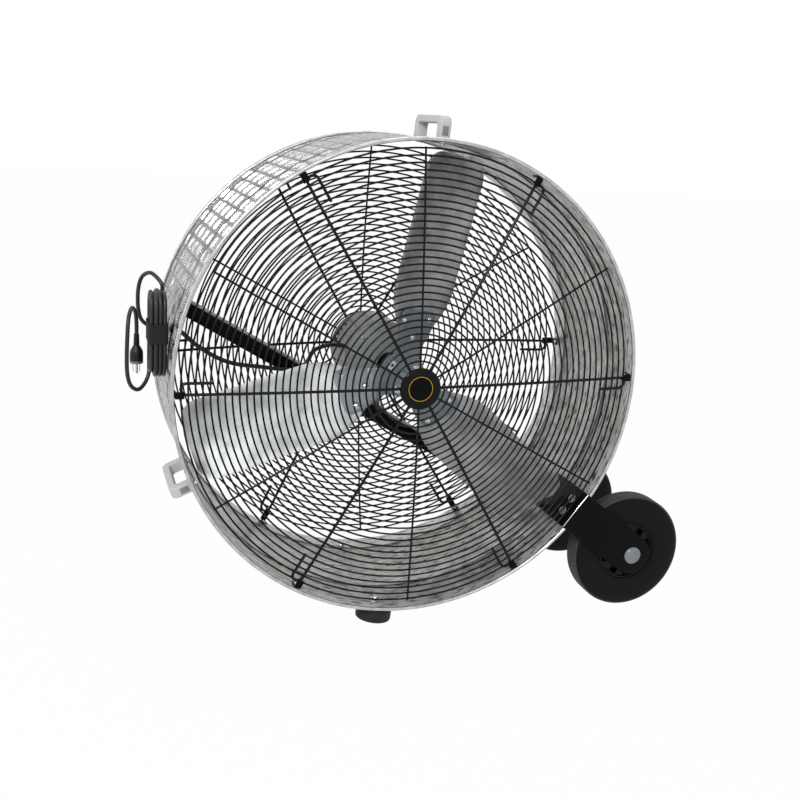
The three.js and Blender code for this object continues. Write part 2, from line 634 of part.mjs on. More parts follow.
/** Slinger: a thin dished disc on the shaft, between the hub and the motor. */
function slinger() {
  const front = HUB_REAR + SLINGER_HUB_GAP;
  return revolve([[SHAFT_R + GAP, front], [12, front], [SLINGER_R, front + SLINGER_DEPTH / 2],
    [SLINGER_R, front + SLINGER_DEPTH], [12, front + SLINGER_DEPTH + 4], [SHAFT_R + GAP, front + SLINGER_DEPTH + 4]],
  16);
}

// ---------- Motor ----------

/** Shell with its welded base, in the local frame of the channel. */
function motorShell() {
  const seat = MOTOR_R + MOTOR_BASE_HEIGHT;
  const plate = seat - MOTOR_BASE_PLATE;
  const saddle = outline([[0.6 * MOTOR_R, -MOTOR_NECK_HALF], [plate, -MOTOR_NECK_HALF],
    [plate, -MOTOR_BASE_HALF], [seat, -MOTOR_BASE_HALF], [seat, MOTOR_BASE_HALF],
    [plate, MOTOR_BASE_HALF], [plate, MOTOR_NECK_HALF], [0.6 * MOTOR_R, MOTOR_NECK_HALF]]);
  const shell = rodY(MOTOR_R, MOTOR_FRONT, MOTOR_REAR, MOTOR_FACETS);
  return join(shell, prismY(saddle, MOTOR_FRONT + GAP, MOTOR_FRONT + MOTOR_BASE_LENGTH));
}

const motorFrontBell = () =>
  revolve([[SHAFT_R + GAP, MOTOR_FRONT - MOTOR_NOSE], [0.45 * MOTOR_NOSE_R, MOTOR_FRONT - MOTOR_NOSE],
    [MOTOR_NOSE_R, MOTOR_FRONT - 0.85 * MOTOR_NOSE], [MOTOR_R - 2, MOTOR_FRONT - 0.3 * MOTOR_NOSE],
    [MOTOR_R, MOTOR_FRONT - 0.2 * MOTOR_NOSE], [MOTOR_R, MOTOR_FRONT - GAP], [SHAFT_R + GAP, MOTOR_FRONT - GAP]],
  MOTOR_FACETS);

const motorRearBell = () =>
  revolve([[0, MOTOR_REAR + GAP], [MOTOR_R, MOTOR_REAR + GAP], [MOTOR_R, MOTOR_REAR + 0.3 * MOTOR_TAIL],
    [MOTOR_TAIL_R, MOTOR_REAR + MOTOR_TAIL], [0, MOTOR_REAR + MOTOR_TAIL]], MOTOR_FACETS);

/** Channel in its local frame: a U whose web faces the motor, trimmed to the drum, and its end tabs. */
function motorChannel() {
  const rear = CHANNEL_FRONT + CHANNEL_WIDTH;
  const tip = CHANNEL_WEB + CHANNEL_FLANGE;
  const floor = CHANNEL_WEB + CHANNEL_SHEET;
  const section = outline([[CHANNEL_WEB, CHANNEL_FRONT], [tip, CHANNEL_FRONT],
    [tip, CHANNEL_FRONT + CHANNEL_SHEET], [floor, CHANNEL_FRONT + CHANNEL_SHEET],
    [floor, rear - CHANNEL_SHEET], [tip, rear - CHANNEL_SHEET], [tip, rear], [CHANNEL_WEB, rear]]);
  const drumSpace = rodY(INNER_SEAT, CHANNEL_FRONT - 1, rear + 1, 2 * DRUM_FACETS);
  const bar = common(prismZ(section, -DRUM_R, DRUM_R), drumSpace);
  const tabs = [-1, 1].map((side) => {
    const half = TAB_LENGTH / 2;
    const plate = block([TAB_X - CHANNEL_SHEET, -TAB_WIDTH / 2, -half], [TAB_X, TAB_WIDTH / 2, half]);
    const hole = rodX(CHANNEL_BOLT_R + GAP, TAB_X - 3 * CHANNEL_SHEET, TAB_X + 3 * CHANNEL_SHEET);
    const drilled = geometryOf(cut(plate, hole));
    return around(drilled.translate(0, CHANNEL_MID, 0), -side * TAB_TURN);
  });
  return join(bar, ...tabs);
}

// ---------- Handles and feet ----------

/** D handle in its local frame: two legs on the drum and a grip between them. */
function handle() {
  const half = HANDLE_LENGTH / 2;
  const top = OUTER_SEAT + HANDLE_HEIGHT;
  const under = top - HANDLE_GRIP;
  const inner = half - HANDLE_LEG;
  const [big, small] = [HANDLE_OUTER_FILLET, HANDLE_INNER_FILLET];
  const shape = new THREE.Shape();
  shape.moveTo(OUTER_SEAT, -half);
  shape.lineTo(top - big, -half);
  shape.quadraticCurveTo(top, -half, top, -half + big);
  shape.lineTo(top, half - big);
  shape.quadraticCurveTo(top, half, top - big, half);
  shape.lineTo(OUTER_SEAT, half);
  shape.lineTo(OUTER_SEAT, inner);
  shape.lineTo(under - small, inner);
  shape.quadraticCurveTo(under, inner, under, inner - small);
  shape.lineTo(under, -inner + small);
  shape.quadraticCurveTo(under, -inner, under - small, -inner);
  shape.lineTo(OUTER_SEAT, -inner);
  const bores = [-1, 1].map((side) =>
    rodX(HANDLE_SCREW_R + GAP, OUTER_SEAT - 1, OUTER_SEAT + HANDLE_SCREW_DEPTH + GAP)
      .translate(0, side * HANDLE_SCREW_Y, 0));
  return cut(prismZ(shape, -HANDLE_WIDTH / 2, HANDLE_WIDTH / 2, 4), ...bores);
}

/** Rubber foot in its local frame: a plain bumper with a recess for the bolt's head. */
const foot = () =>
  revolveX([[FOOT_BOLT_R + GAP, OUTER_SEAT], [FOOT_R, OUTER_SEAT], [FOOT_R, FOOT_FACE],
    [FOOT_RECESS_R, FOOT_FACE], [FOOT_RECESS_R, FOOT_FACE - FOOT_RECESS],
    [FOOT_BOLT_R + GAP, FOOT_FACE - FOOT_RECESS]], FOOT_FACETS);

// ---------- Wheels ----------

/** Wheel bracket in its local frame: a leg on the inner wall, bent out at the rim to a cheek. */
function wheelBracket(legEnd) {
  const [leg, sheet, bend] = [BRACKET_LEG_X, BRACKET_SHEET, BRACKET_BEND];
  const inner = -BRACKET_RIM_GAP;
  const half = BRACKET_WIDTH / 2;
  const section = new THREE.Shape();
  section.moveTo(leg - sheet, legEnd);
  section.lineTo(leg - sheet, inner + bend);
  section.quadraticCurveTo(leg - sheet, CHEEK_FACE, leg + bend, CHEEK_FACE);
  section.lineTo(AXLE_RADIUS + BRACKET_WIDTH, CHEEK_FACE);
  section.lineTo(AXLE_RADIUS + BRACKET_WIDTH, inner);
  section.lineTo(leg + bend, inner);
  section.quadraticCurveTo(leg, inner, leg, inner + bend);
  section.lineTo(leg, legEnd);
  const face = new THREE.Shape();
  face.moveTo(leg - 2 * sheet, half);
  face.lineTo(leg - 2 * sheet, -half);
  face.absarc(AXLE_RADIUS, 0, half, -Math.PI / 2, Math.PI / 2, false);
  const strap = common(prismZ(section, -half, half), prismY(face, CHEEK_FACE - 1, legEnd + 1, 12));
  const axleHole = rodY(AXLE_R + GAP, CHEEK_FACE - 1, inner + 1, 16).translate(AXLE_RADIUS, 0, 0);
  const boltHoles = [-1, 1].map((side) =>
    rodX(BRACKET_BOLT_R + GAP, leg - 2 * sheet, leg + sheet)
      .translate(0, BRACKET_BOLT_Y, side * BRACKET_BOLT_SIDE));
  return cut(strap, axleHole, ...boltHoles);
}

/** Wheel rim about the y axis, its middle at y = 0 and its long hub end toward -y. */
function wheelRim() {
  const outerEnd = -(WHEEL_MID + BRACKET_RIM_GAP - GAP);
  const bore = AXLE_R + GAP;
  const [web, half, lip] = [RIM_SHEET / 2, RIM_WIDTH / 2, RIM_R - RIM_SHEET];
  const profile = [[bore, outerEnd], [WHEEL_HUB_R - 3, outerEnd], [WHEEL_HUB_R, -web], [lip, -web],
    [lip + 2, -half], [RIM_R, -half], [RIM_R, half], [lip + 2, half], [lip, web], [WHEEL_HUB_R, web],
    [WHEEL_HUB_R - 2, WHEEL_HUB_INNER], [bore, WHEEL_HUB_INNER]];
  const windowCircle = (WHEEL_HUB_R + lip) / 2;
  const windows = Array.from({ length: WHEEL_WINDOWS }, (_, i) =>
    around(rodY(WINDOW_R, -RIM_SHEET, RIM_SHEET, BOLT_FACETS).translate(windowCircle, 0, 0),
      (i * 360) / WHEEL_WINDOWS));
  return cut(revolve(profile, WHEEL_FACETS), ...windows);
}

/** Tyre about the y axis, with two grooves round its tread. */
function tyre() {
  const half = TYRE_WIDTH / 2;
  const groove = (middle) => [[WHEEL_R, middle - TREAD_GROOVE_HALF], [WHEEL_R - TREAD_GROOVE, middle],
    [WHEEL_R, middle + TREAD_GROOVE_HALF]];
  const flat = half - TYRE_SHOULDER;
  return revolve([[RIM_R + GAP, -half + 3], [RIM_R + 10, -half], [TYRE_SIDE_R, -half], [WHEEL_R, -flat],
    ...groove(-TREAD_GROOVE_AT), ...groove(TREAD_GROOVE_AT), [WHEEL_R, flat], [TYRE_SIDE_R, half],
    [RIM_R + 10, half], [RIM_R + GAP, half - 3]], WHEEL_FACETS);
}

/** Push cap over the axle's end, about the y axis, its open side at y = 0 and toward +y. */
const axleCap = () =>
  revolve([[0, -CAP_DEPTH], [0.6 * CAP_R, -CAP_DEPTH], [CAP_R, -CAP_RIM], [CAP_R, 0], [AXLE_R + GAP, 0],
    [AXLE_R + GAP, -AXLE_END], [0, -AXLE_END]], 16);

// ---------- Cord ----------

/** Gland in its local frame: a nut inside, a thread in the wall, a dome outside. */
function cordGland() {
  const bore = CORD_R + GAP;
  const end = OUTER_SEAT + GLAND_OUT;
  return revolveX([[bore, INNER_SEAT - GLAND_IN], [GLAND_R, INNER_SEAT - GLAND_IN], [GLAND_R, INNER_SEAT],
    [GLAND_THREAD_R, INNER_SEAT], [GLAND_THREAD_R, OUTER_SEAT], [GLAND_R, OUTER_SEAT],
    [GLAND_R, OUTER_SEAT + GLAND_OUT / 2], [GLAND_R - 4, end], [bore, end]], 12);
}

/** A point on the gland's axis, at a radius. */
const glandPoint = (r) => [r * Math.cos(rad(GLAND_ANGLE)), GLAND_Y, r * Math.sin(rad(GLAND_ANGLE))];

/** Lead from the gland, under the channel and up to the motor's side. */
function motorLead() {
  const start = glandPoint(INNER_SEAT - GLAND_IN - GAP);
  const shellEnd = MOTOR_R + GAP;
  const past = [[-411, -38, 43], [-370, -30, 16], [-331, -22, 0], [-275, -14, -9], [-232, -10, -15], [-196, -9, -17],
    [-173, -8, 0], [-160, -5, 22], [-128, 14, 30], [-102, 36, 27], [-0.962 * shellEnd, 46, 0.274 * shellEnd]];
  const route = [start, glandPoint(INNER_SEAT - GLAND_IN - 12), ...past.map(([x, y, z]) => [x, CHANNEL_FRONT + y, z])];
  return cut(wire(curveThrough(route), LEAD_R, 8, 20),
    around(rodY(shellEnd, MOTOR_FRONT, MOTOR_REAR, MOTOR_FACETS), CHANNEL_ANGLE));
}

/** Outer shape of the hank: an upright outline with round ends, clear of the wall. */
function cordHank() {
  const top = HANK_BOTTOM_FOLD_Z + HANK_RUN;
  const shape = new THREE.Shape();
  shape.absarc(0, HANK_BOTTOM_FOLD_Z, HANK_HALF_Y, Math.PI, 2 * Math.PI, false);
  shape.absarc(0, top, HANK_HALF_Y, 0, Math.PI, false);
  const turned = prismY(shape, -HANK_HALF_X, HANK_HALF_X, 10);
  return turned.rotateZ(Math.PI / 2).translate(HANK_X, HANK_Y, 0);
}

/** Cord from the gland, up and over into the top of the hank. */
function cordFeed() {
  const entry = [HANK_X + HANK_HALF_X - CORD_R, HANK_Y + HANK_FOLD_R];
  const top = HANK_BOTTOM_FOLD_Z + HANK_RUN + HANK_CLEAR;
  const beside = [[-10, GLAND_Y, 85], [-23, GLAND_Y, 96], [-29, GLAND_Y, 116], [-29, GLAND_Y - 1, 160],
    [-22, GLAND_Y - 10, 184], [-8.5, HANK_Y + 56, 193], [5, HANK_Y + 40, 184]];
  const route = [glandPoint(OUTER_SEAT + GLAND_OUT + GAP), ...beside.map(([x, y, z]) => [HANK_X + x, y, z]),
    [...entry, top + 14], [...entry, top]];
  return wire(curveThrough(route), CORD_R, 8, 14);
}

/** Cord from the bottom of the hank, round a loose loop and down into the plug. */
function cordTail() {
  const exit = [HANK_X - HANK_HALF_X + CORD_R, HANK_Y + HANK_FOLD_R];
  const clear = HANK_BOTTOM_FOLD_Z - HANK_CLEAR;
  const [plugX, plugY, plugZ] = PLUG_TOP;
  const loop = [[-20, 23, -18], [-34, 8, -28], [-48, -7, -18], [-56, -16, 6], [-56, -16, 90], [-53, -7, 118],
    [-46, 15, 131], [-38, 37, 119]];
  const route = [[...exit, clear], [...exit, clear - 12], ...loop.map(([x, y, z]) => [HANK_X + x, HANK_Y + y, z]),
    [plugX, plugY, plugZ + 20], [plugX, plugY, plugZ + GAP]];
  return wire(curveThrough(route), CORD_R, 8, 20);
}

/** Plug in its own frame, hanging from y = z = 0: boot, round-backed body, two blades and a pin. */
function cordPlug() {
  const bootEnd = -PLUG_BOOT;
  const bodyEnd = bootEnd - PLUG_BODY;
  const upright = (profile, facets) => revolve(profile, facets).rotateX(Math.PI / 2);
  const boot = upright([[0, 0], [PLUG_BOOT_R - 1, 0], [PLUG_BOOT_R, bootEnd - 1], [0, bootEnd - 1]], 12);
  const body = upright([[0, bootEnd], [PLUG_BOOT_R + 2, bootEnd], [PLUG_BODY_R, bootEnd - 9],
    [PLUG_BODY_R, bodyEnd], [0, bodyEnd]], 16);
  const blades = [-1, 1].map((side) => {
    const x = (side * PLUG_BLADE_SPACING) / 2;
    return block([x - PLUG_BLADE_SHEET / 2, -PLUG_BLADE_WIDTH / 2 + 2, bodyEnd - PLUG_BLADE],
      [x + PLUG_BLADE_SHEET / 2, PLUG_BLADE_WIDTH / 2 + 2, bodyEnd + 1]);
  });
  const pin = upright([[0, bodyEnd + 1], [PLUG_PIN_R, bodyEnd + 1], [PLUG_PIN_R, bodyEnd - PLUG_BLADE - 2],
    [0, bodyEnd - PLUG_BLADE - 2]], 8).translate(0, -8, 0);
  return join(boot, body, ...blades, pin).translate(PLUG_TOP);
}

/** Hook-and-loop strap round the hank. */
function cordStrap() {
  const [x, y] = [HANK_HALF_X + GAP, HANK_HALF_Y + GAP];
  const outer = block([-x - STRAP_SHEET, -y - STRAP_SHEET, 0], [x + STRAP_SHEET, y + STRAP_SHEET, STRAP_WIDTH]);
  const inner = block([-x, -y, -1], [x, y, STRAP_WIDTH + 1]);
  return cut(outer, inner).translate([HANK_X, HANK_Y, STRAP_Z]);
}

// ---------- Assembly ----------

function drumPieces() {
  const { treadSheet, blackWire, blackPaint, zinc } = FINISH;
  const clips = [["front", FRONT_GUARD], ["rear", REAR_GUARD]].flatMap(([place, size]) =>
    Array.from({ length: RIBS / 2 }, (_, i) =>
      piece(`${place}_clip_${i + 1}`, clip(size), zinc, { angle: GUARD_PHASE + (i * 720) / RIBS })));
  const fasteners = WALL_FASTENERS.map(({ name, angle, y, z, shape }) =>
    piece(name, shape(), zinc, { angle, y, z }));
  return [
    piece("drum_shell", drumShell(), treadSheet),
    piece("front_guard", guard(FRONT_GUARD), blackWire),
    piece("rear_guard", guard(REAR_GUARD), blackWire),
    piece("guard_badge", badge(), blackPaint, { y: BADGE_SEAT }),
    ...clips,
    ...fasteners,
  ];
}

function rotorPieces() {
  const blades = Array.from({ length: BLADES }, (_, i) => {
    const carrier = new THREE.Group();
    carrier.position.y = BLADE_Y;
    carrier.rotation.y = -rad(BLADE_ANGLE + (i * 360) / BLADES);
    const sheet = piece(`blade_${i + 1}`, blade(), FINISH.bladeGrey);
    sheet.rotation.x = rad(BLADE_PITCH);
    return carrier.add(sheet);
  });
  return [
    piece("rotor_shaft", rodY(SHAFT_R, SHAFT_FRONT, SHAFT_REAR, 16), FINISH.zinc),
    piece("spider", spider(), FINISH.spiderGrey),
    piece("rotor_hub", hub(), FINISH.zinc),
    piece("slinger", slinger(), FINISH.motorBlack),
    ...blades,
  ];
}

function motorPieces() {
  const angle = CHANNEL_ANGLE;
  return [
    piece("motor_shell", motorShell(), FINISH.motorGrey, { angle }),
    piece("motor_front_bell", motorFrontBell(), FINISH.motorGrey, { angle }),
    piece("motor_rear_bell", motorRearBell(), FINISH.motorGrey, { angle }),
    piece("motor_channel", motorChannel(), FINISH.blackPaint, { angle }),
    piece("motor_lead", motorLead(), FINISH.cordGrey),
  ];
}

/** Bracket, wheel and cap at one end of the axle; the rear end mirrors the front one. */
function wheelPieces(place, legEnd) {
  const group = new THREE.Group();
  const axleAngle = { angle: WHEEL_ANGLE };
  const onAxle = (name, shape, finish, y) => {
    const mesh = piece(name, shape, finish, { y });
    mesh.position.x = AXLE_RADIUS * Math.cos(rad(WHEEL_ANGLE));
    mesh.position.z = -AXLE_DROP;
    return mesh;
  };
  group.add(
    piece(`wheel_bracket_${place}`, wheelBracket(legEnd), FINISH.blackPaint, axleAngle),
    onAxle(`wheel_rim_${place}`, wheelRim(), FINISH.motorBlack, WHEEL_MID),
    onAxle(`tyre_${place}`, tyre(), FINISH.rubber, WHEEL_MID),
    onAxle(`axle_cap_${place}`, axleCap(), FINISH.capGrey, CHEEK_FACE - GAP),
  );
  if (place === "rear") {
    group.scale.y = -1;
    group.position.y = DRUM_DEPTH;
  }
  return group;
}

function axlePieces() {
  const end = CHEEK_FACE - AXLE_END + GAP;
  const tubeEnd = WHEEL_MID + WHEEL_HUB_INNER + GAP;
  const tube = revolve([[AXLE_R + GAP, tubeEnd], [AXLE_TUBE_R, tubeEnd], [AXLE_TUBE_R, DRUM_DEPTH - tubeEnd],
    [AXLE_R + GAP, DRUM_DEPTH - tubeEnd]], 16);
  const group = new THREE.Group();
  group.position.set(AXLE_RADIUS * Math.cos(rad(WHEEL_ANGLE)), 0, -AXLE_DROP);
  group.add(
    piece("wheel_axle", rodY(AXLE_R, end, DRUM_DEPTH - end, 16), FINISH.zinc),
    piece("axle_tube", tube, FINISH.zinc),
  );
  return group;
}

function bodyHardware() {
  const handles = Object.entries(HANDLE_ANGLES).map(([place, angle]) =>
    piece(`handle_${place}`, handle(), FINISH.greyPlastic, { angle, y: HANDLE_Y }));
  const feet = ENDS.map(([place, side]) =>
    piece(`foot_${place}`, foot(), FINISH.rubber, { angle: FOOT_ANGLE, y: fromRim(FOOT_INSET, side) }));
  return [...handles, ...feet];
}

function cordPieces() {
  return [
    piece("cord_gland", cordGland(), FINISH.motorBlack, { angle: GLAND_ANGLE, y: GLAND_Y }),
    piece("cord_feed", cordFeed(), FINISH.cordGrey),
    piece("cord_hank", cordHank(), FINISH.cordGrey),
    piece("cord_tail", cordTail(), FINISH.cordGrey),
    piece("cord_plug", cordPlug(), FINISH.motorBlack),
    piece("cord_strap", cordStrap(), FINISH.motorBlack),
  ];
}

/** The whole fan in its drum frame, moved so that the origin is on the floor under its middle. */
function drumFan() {
  const fan = new THREE.Group();
  fan.name = "drum_fan";
  fan.add(...drumPieces(), ...rotorPieces(), ...motorPieces(), ...bodyHardware(), ...cordPieces());
  fan.add(wheelPieces("front", BRACKET_LEG_FRONT), wheelPieces("rear", BRACKET_LEG_REAR), axlePieces());
  const right = AXLE_RADIUS * Math.cos(rad(WHEEL_ANGLE)) + WHEEL_R;
  const front = BADGE_SEAT - BADGE_DEPTH;
  fan.position.set((DRUM_R - right) / 2, -(front + REAR_GUARD_END) / 2, FLOOR_DROP);
  return fan;
}

export default drumFan();
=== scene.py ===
"""Looks of a portable drum fan: a tread-plate drum with wire guards, wheels, feet and a hung cord.

Sizes are millimetres in the drum's frame: y = 0 is the front rim, the drum's axis is x = z = 0, and an
angle runs counterclockwise from +X as the front is seen. `DrumFrame` turns them to metres.
"""

import json
import logging
import math
from collections.abc import Callable, Sequence
from dataclasses import dataclass, field, replace
from enum import Enum

import bmesh
import bpy
from mathutils import Matrix, Vector

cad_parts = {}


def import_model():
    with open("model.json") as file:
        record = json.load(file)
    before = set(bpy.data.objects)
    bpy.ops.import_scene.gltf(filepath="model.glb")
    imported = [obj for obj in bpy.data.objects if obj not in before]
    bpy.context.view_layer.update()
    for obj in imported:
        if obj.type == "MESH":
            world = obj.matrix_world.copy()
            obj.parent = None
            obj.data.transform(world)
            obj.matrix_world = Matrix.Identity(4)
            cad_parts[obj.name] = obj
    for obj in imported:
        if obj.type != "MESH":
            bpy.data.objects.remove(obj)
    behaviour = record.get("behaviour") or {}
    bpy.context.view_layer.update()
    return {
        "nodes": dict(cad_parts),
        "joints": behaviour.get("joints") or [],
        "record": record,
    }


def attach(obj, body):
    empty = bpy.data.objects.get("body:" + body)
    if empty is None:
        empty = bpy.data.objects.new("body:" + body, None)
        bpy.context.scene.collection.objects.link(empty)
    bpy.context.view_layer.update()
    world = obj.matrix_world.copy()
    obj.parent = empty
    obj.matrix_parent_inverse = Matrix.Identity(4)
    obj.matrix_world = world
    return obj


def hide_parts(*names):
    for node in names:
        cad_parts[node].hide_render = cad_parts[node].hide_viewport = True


LOG = logging.getLogger("drum_fan")
MM = 0.001
ROOT = "frame"
ROTOR = "rotor"
WHEEL_BODY = {"front": "wheel_front", "rear": "wheel_rear"}

BMesh = bmesh.types.BMesh
Socket = bpy.types.NodeSocket
Point = tuple[float, float, float]
Profile = Sequence[tuple[float, float]]

# Sizes that several pieces share, in millimetres and degrees.
GAP = 0.3  # between pieces that touch
DEPTH = 390.0  # of the drum over its beads
SWAGES = (110.0, 326.0)  # y of the swages' middles
SEAT_OUT = 477.3  # radius of what sits on the wall's outer face
SEAT_IN = 473.28  # radius of what sits on its inner face
ROD_R = 7.94  # shaft and axle, 5/8 inch across
BORE_R = 8.24  # bore round a rod
AXLE_AT = 652.0  # distance of the axle from the drum's axis
WHEEL_ANGLE = 323.4
LEG_AT = 468.22  # radius of the outer face of a wheel bracket's leg
HANDLES = (("top", 86.0), ("side", 205.0))
HANDLE_Y = 120.0
FOOT_ANGLE = 264.3
FOOT_Y = {"front": 46.0, "rear": 344.0}
FOOT_FACE = 514.56
FOOT_RECESS = 16.0


class Side(Enum):
    """Which rim of the drum a piece belongs to; the value is the sign of its outward direction, -y or +y."""

    FRONT = -1
    REAR = 1

    @property
    def word(self) -> str:
        """Name of the side as the pieces spell it."""
        return self.name.lower()


# ---------------------------------------------------------------- finishes


def linear(colour: str) -> tuple[float, float, float, float]:
    """Turns an sRGB hex colour to linear RGBA.

    Args:
        colour: "#rrggbb".

    Returns:
        Linear red, green, blue and an alpha of 1.
    """
    parts = [int(colour[i : i + 2], 16) / 255 for i in (1, 3, 5)]
    red, green, blue = (p / 12.92 if p <= 0.04045 else ((p + 0.055) / 1.055) ** 2.4 for p in parts)
    return red, green, blue, 1.0


def add_node(
    tree: bpy.types.NodeTree,
    kind: str,
    values: dict[str | int, object] | None = None,
    links: dict[str | int, Socket] | None = None,
    **settings: object,
) -> bpy.types.Node:
    """Adds one shader node.

    Args:
        tree: node tree that gets the node.
        kind: the node's type, such as "ShaderNodeBump".
        values: default values by input.
        links: output sockets of other nodes by input.
        settings: properties of the node itself.

    Returns:
        The new node.
    """
    node = tree.nodes.new(kind)
    for name, value in settings.items():
        setattr(node, name, value)
    for name, value in (values or {}).items():
        node.inputs[name].default_value = value
    for name, socket in (links or {}).items():
        tree.links.new(socket, node.inputs[name])
    return node


def clean_tree(owner: bpy.types.Material | bpy.types.World) -> bpy.types.NodeTree:
    """Turns on the nodes of a material or a world, and returns its emptied tree."""
    owner.use_nodes = True
    owner.node_tree.nodes.clear()
    return owner.node_tree


def noise(tree: bpy.types.NodeTree, place: Socket, size: float, detail: float) -> Socket:
    """Adds a noise.

    Args:
        tree: node tree that gets it.
        place: coordinates of the pattern.
        size: rough size of its patches, in the unit of the coordinates.
        detail: number of finer layers.

    Returns:
        Its value.
    """
    return add_node(tree, "ShaderNodeTexNoise", {"Scale": 1 / size, "Detail": detail},
                    {"Vector": place}).outputs["Fac"]


def ramp(tree: bpy.types.NodeTree, value: Socket, span: tuple[float, float],
         out: tuple[float, float]) -> Socket:
    """Maps one range of a value to another, and clamps it there.

    Args:
        tree: node tree that gets the node.
        value: the value.
        span: ends of its range.
        out: ends of the new range.

    Returns:
        The mapped value.
    """
    limits = {"From Min": span[0], "From Max": span[1], "To Min": out[0], "To Max": out[1]}
    return add_node(tree, "ShaderNodeMapRange", limits, {"Value": value}).outputs["Result"]


def blend(tree: bpy.types.NodeTree, share: Socket, first: str | Socket, second: str | Socket) -> Socket:
    """Mixes two colours.

    Args:
        tree: node tree that gets the node.
        share: share of the second colour, 0 to 1.
        first: sRGB hex colour, or a colour of the tree.
        second: the other one.

    Returns:
        The mixed colour.
    """
    values, links = {}, {0: share}
    for entry, colour in ((6, first), (7, second)):
        if isinstance(colour, str):
            values[entry] = linear(colour)
        else:
            links[entry] = colour
    return add_node(tree, "ShaderNodeMix", values, links, data_type="RGBA").outputs[2]


def maximum(tree: bpy.types.NodeTree, *values: Socket) -> Socket:
    """Returns the greatest of some values."""
    best = values[0]
    for value in values[1:]:
        best = add_node(tree, "ShaderNodeMath", links={0: best, 1: value}, operation="MAXIMUM").outputs[0]
    return best


@dataclass(frozen=True)
class Finish:
    """A surface with a mottled colour and a fine grain, the common ground of every finish here.

    Attributes:
        name: what the material is.
        colour: sRGB hex colour.
        shade: sRGB hex colour of its darker patches.
        metallic: 1 for bare metal.
        roughness: mean roughness.
        grain: size of the surface's grain, mm.
        relief: height of the grain, mm.
        patch: size of the patches of colour, mm.
        specular: specular level of a coating or a plastic.
    """

    name: str
    colour: str
    shade: str
    metallic: float = 0.0
    roughness: float = 0.5
    grain: float = 2.0
    relief: float = 0.02
    patch: float = 40.0
    specular: float = 0.5

    def build(self) -> bpy.types.Material:
        """Makes the material."""
        material = bpy.data.materials.new(self.name)
        tree = clean_tree(material)
        values = {"Metallic": self.metallic, "Roughness": self.roughness, "Specular IOR Level": self.specular}
        shader = add_node(tree, "ShaderNodeBsdfPrincipled", values)
        add_node(tree, "ShaderNodeOutputMaterial", links={"Surface": shader.outputs["BSDF"]})
        self.dress(tree, shader)
        return material

    def dress(self, tree: bpy.types.NodeTree, shader: bpy.types.Node) -> None:
        """Links colour, roughness and relief to the shader.

        Args:
            tree: node tree of the material.
            shader: its Principled BSDF.
        """
        place = add_node(tree, "ShaderNodeTexCoord").outputs["Object"]
        self.mottle(tree, shader, place)
        self.emboss(tree, shader, noise(tree, place, self.grain * MM, 2.0), 0.6)

    def emboss(
        self, tree: bpy.types.NodeTree, shader: bpy.types.Node, height: Socket, strength: float,
        **settings: object
    ) -> None:
        """Gives the surface a relief.

        Args:
            tree: node tree of the material.
            shader: its Principled BSDF.
            height: height of the relief, 0 to 1.
            strength: how strongly it shows.
            settings: properties of the bump node.
        """
        values = {"Strength": strength, "Distance": self.relief * MM}
        bump = add_node(tree, "ShaderNodeBump", values, {"Height": height}, **settings)
        tree.links.new(bump.outputs["Normal"], shader.inputs["Normal"])

    def mottle(self, tree: bpy.types.NodeTree, shader: bpy.types.Node, place: Socket) -> Socket:
        """Varies colour and roughness in soft patches.

        Args:
            tree: node tree of the material.
            shader: its Principled BSDF.
            place: coordinates of the pattern, in metres.

        Returns:
            The patched colour.
        """
        patches = noise(tree, place, self.patch * MM, 4.0)
        colour = blend(tree, patches, self.shade, self.colour)
        tree.links.new(colour, shader.inputs["Base Color"])
        rough = ramp(tree, patches, (0.3, 0.7), (0.85 * self.roughness, 1.15 * self.roughness))
        tree.links.new(rough, shader.inputs["Roughness"])
        return colour


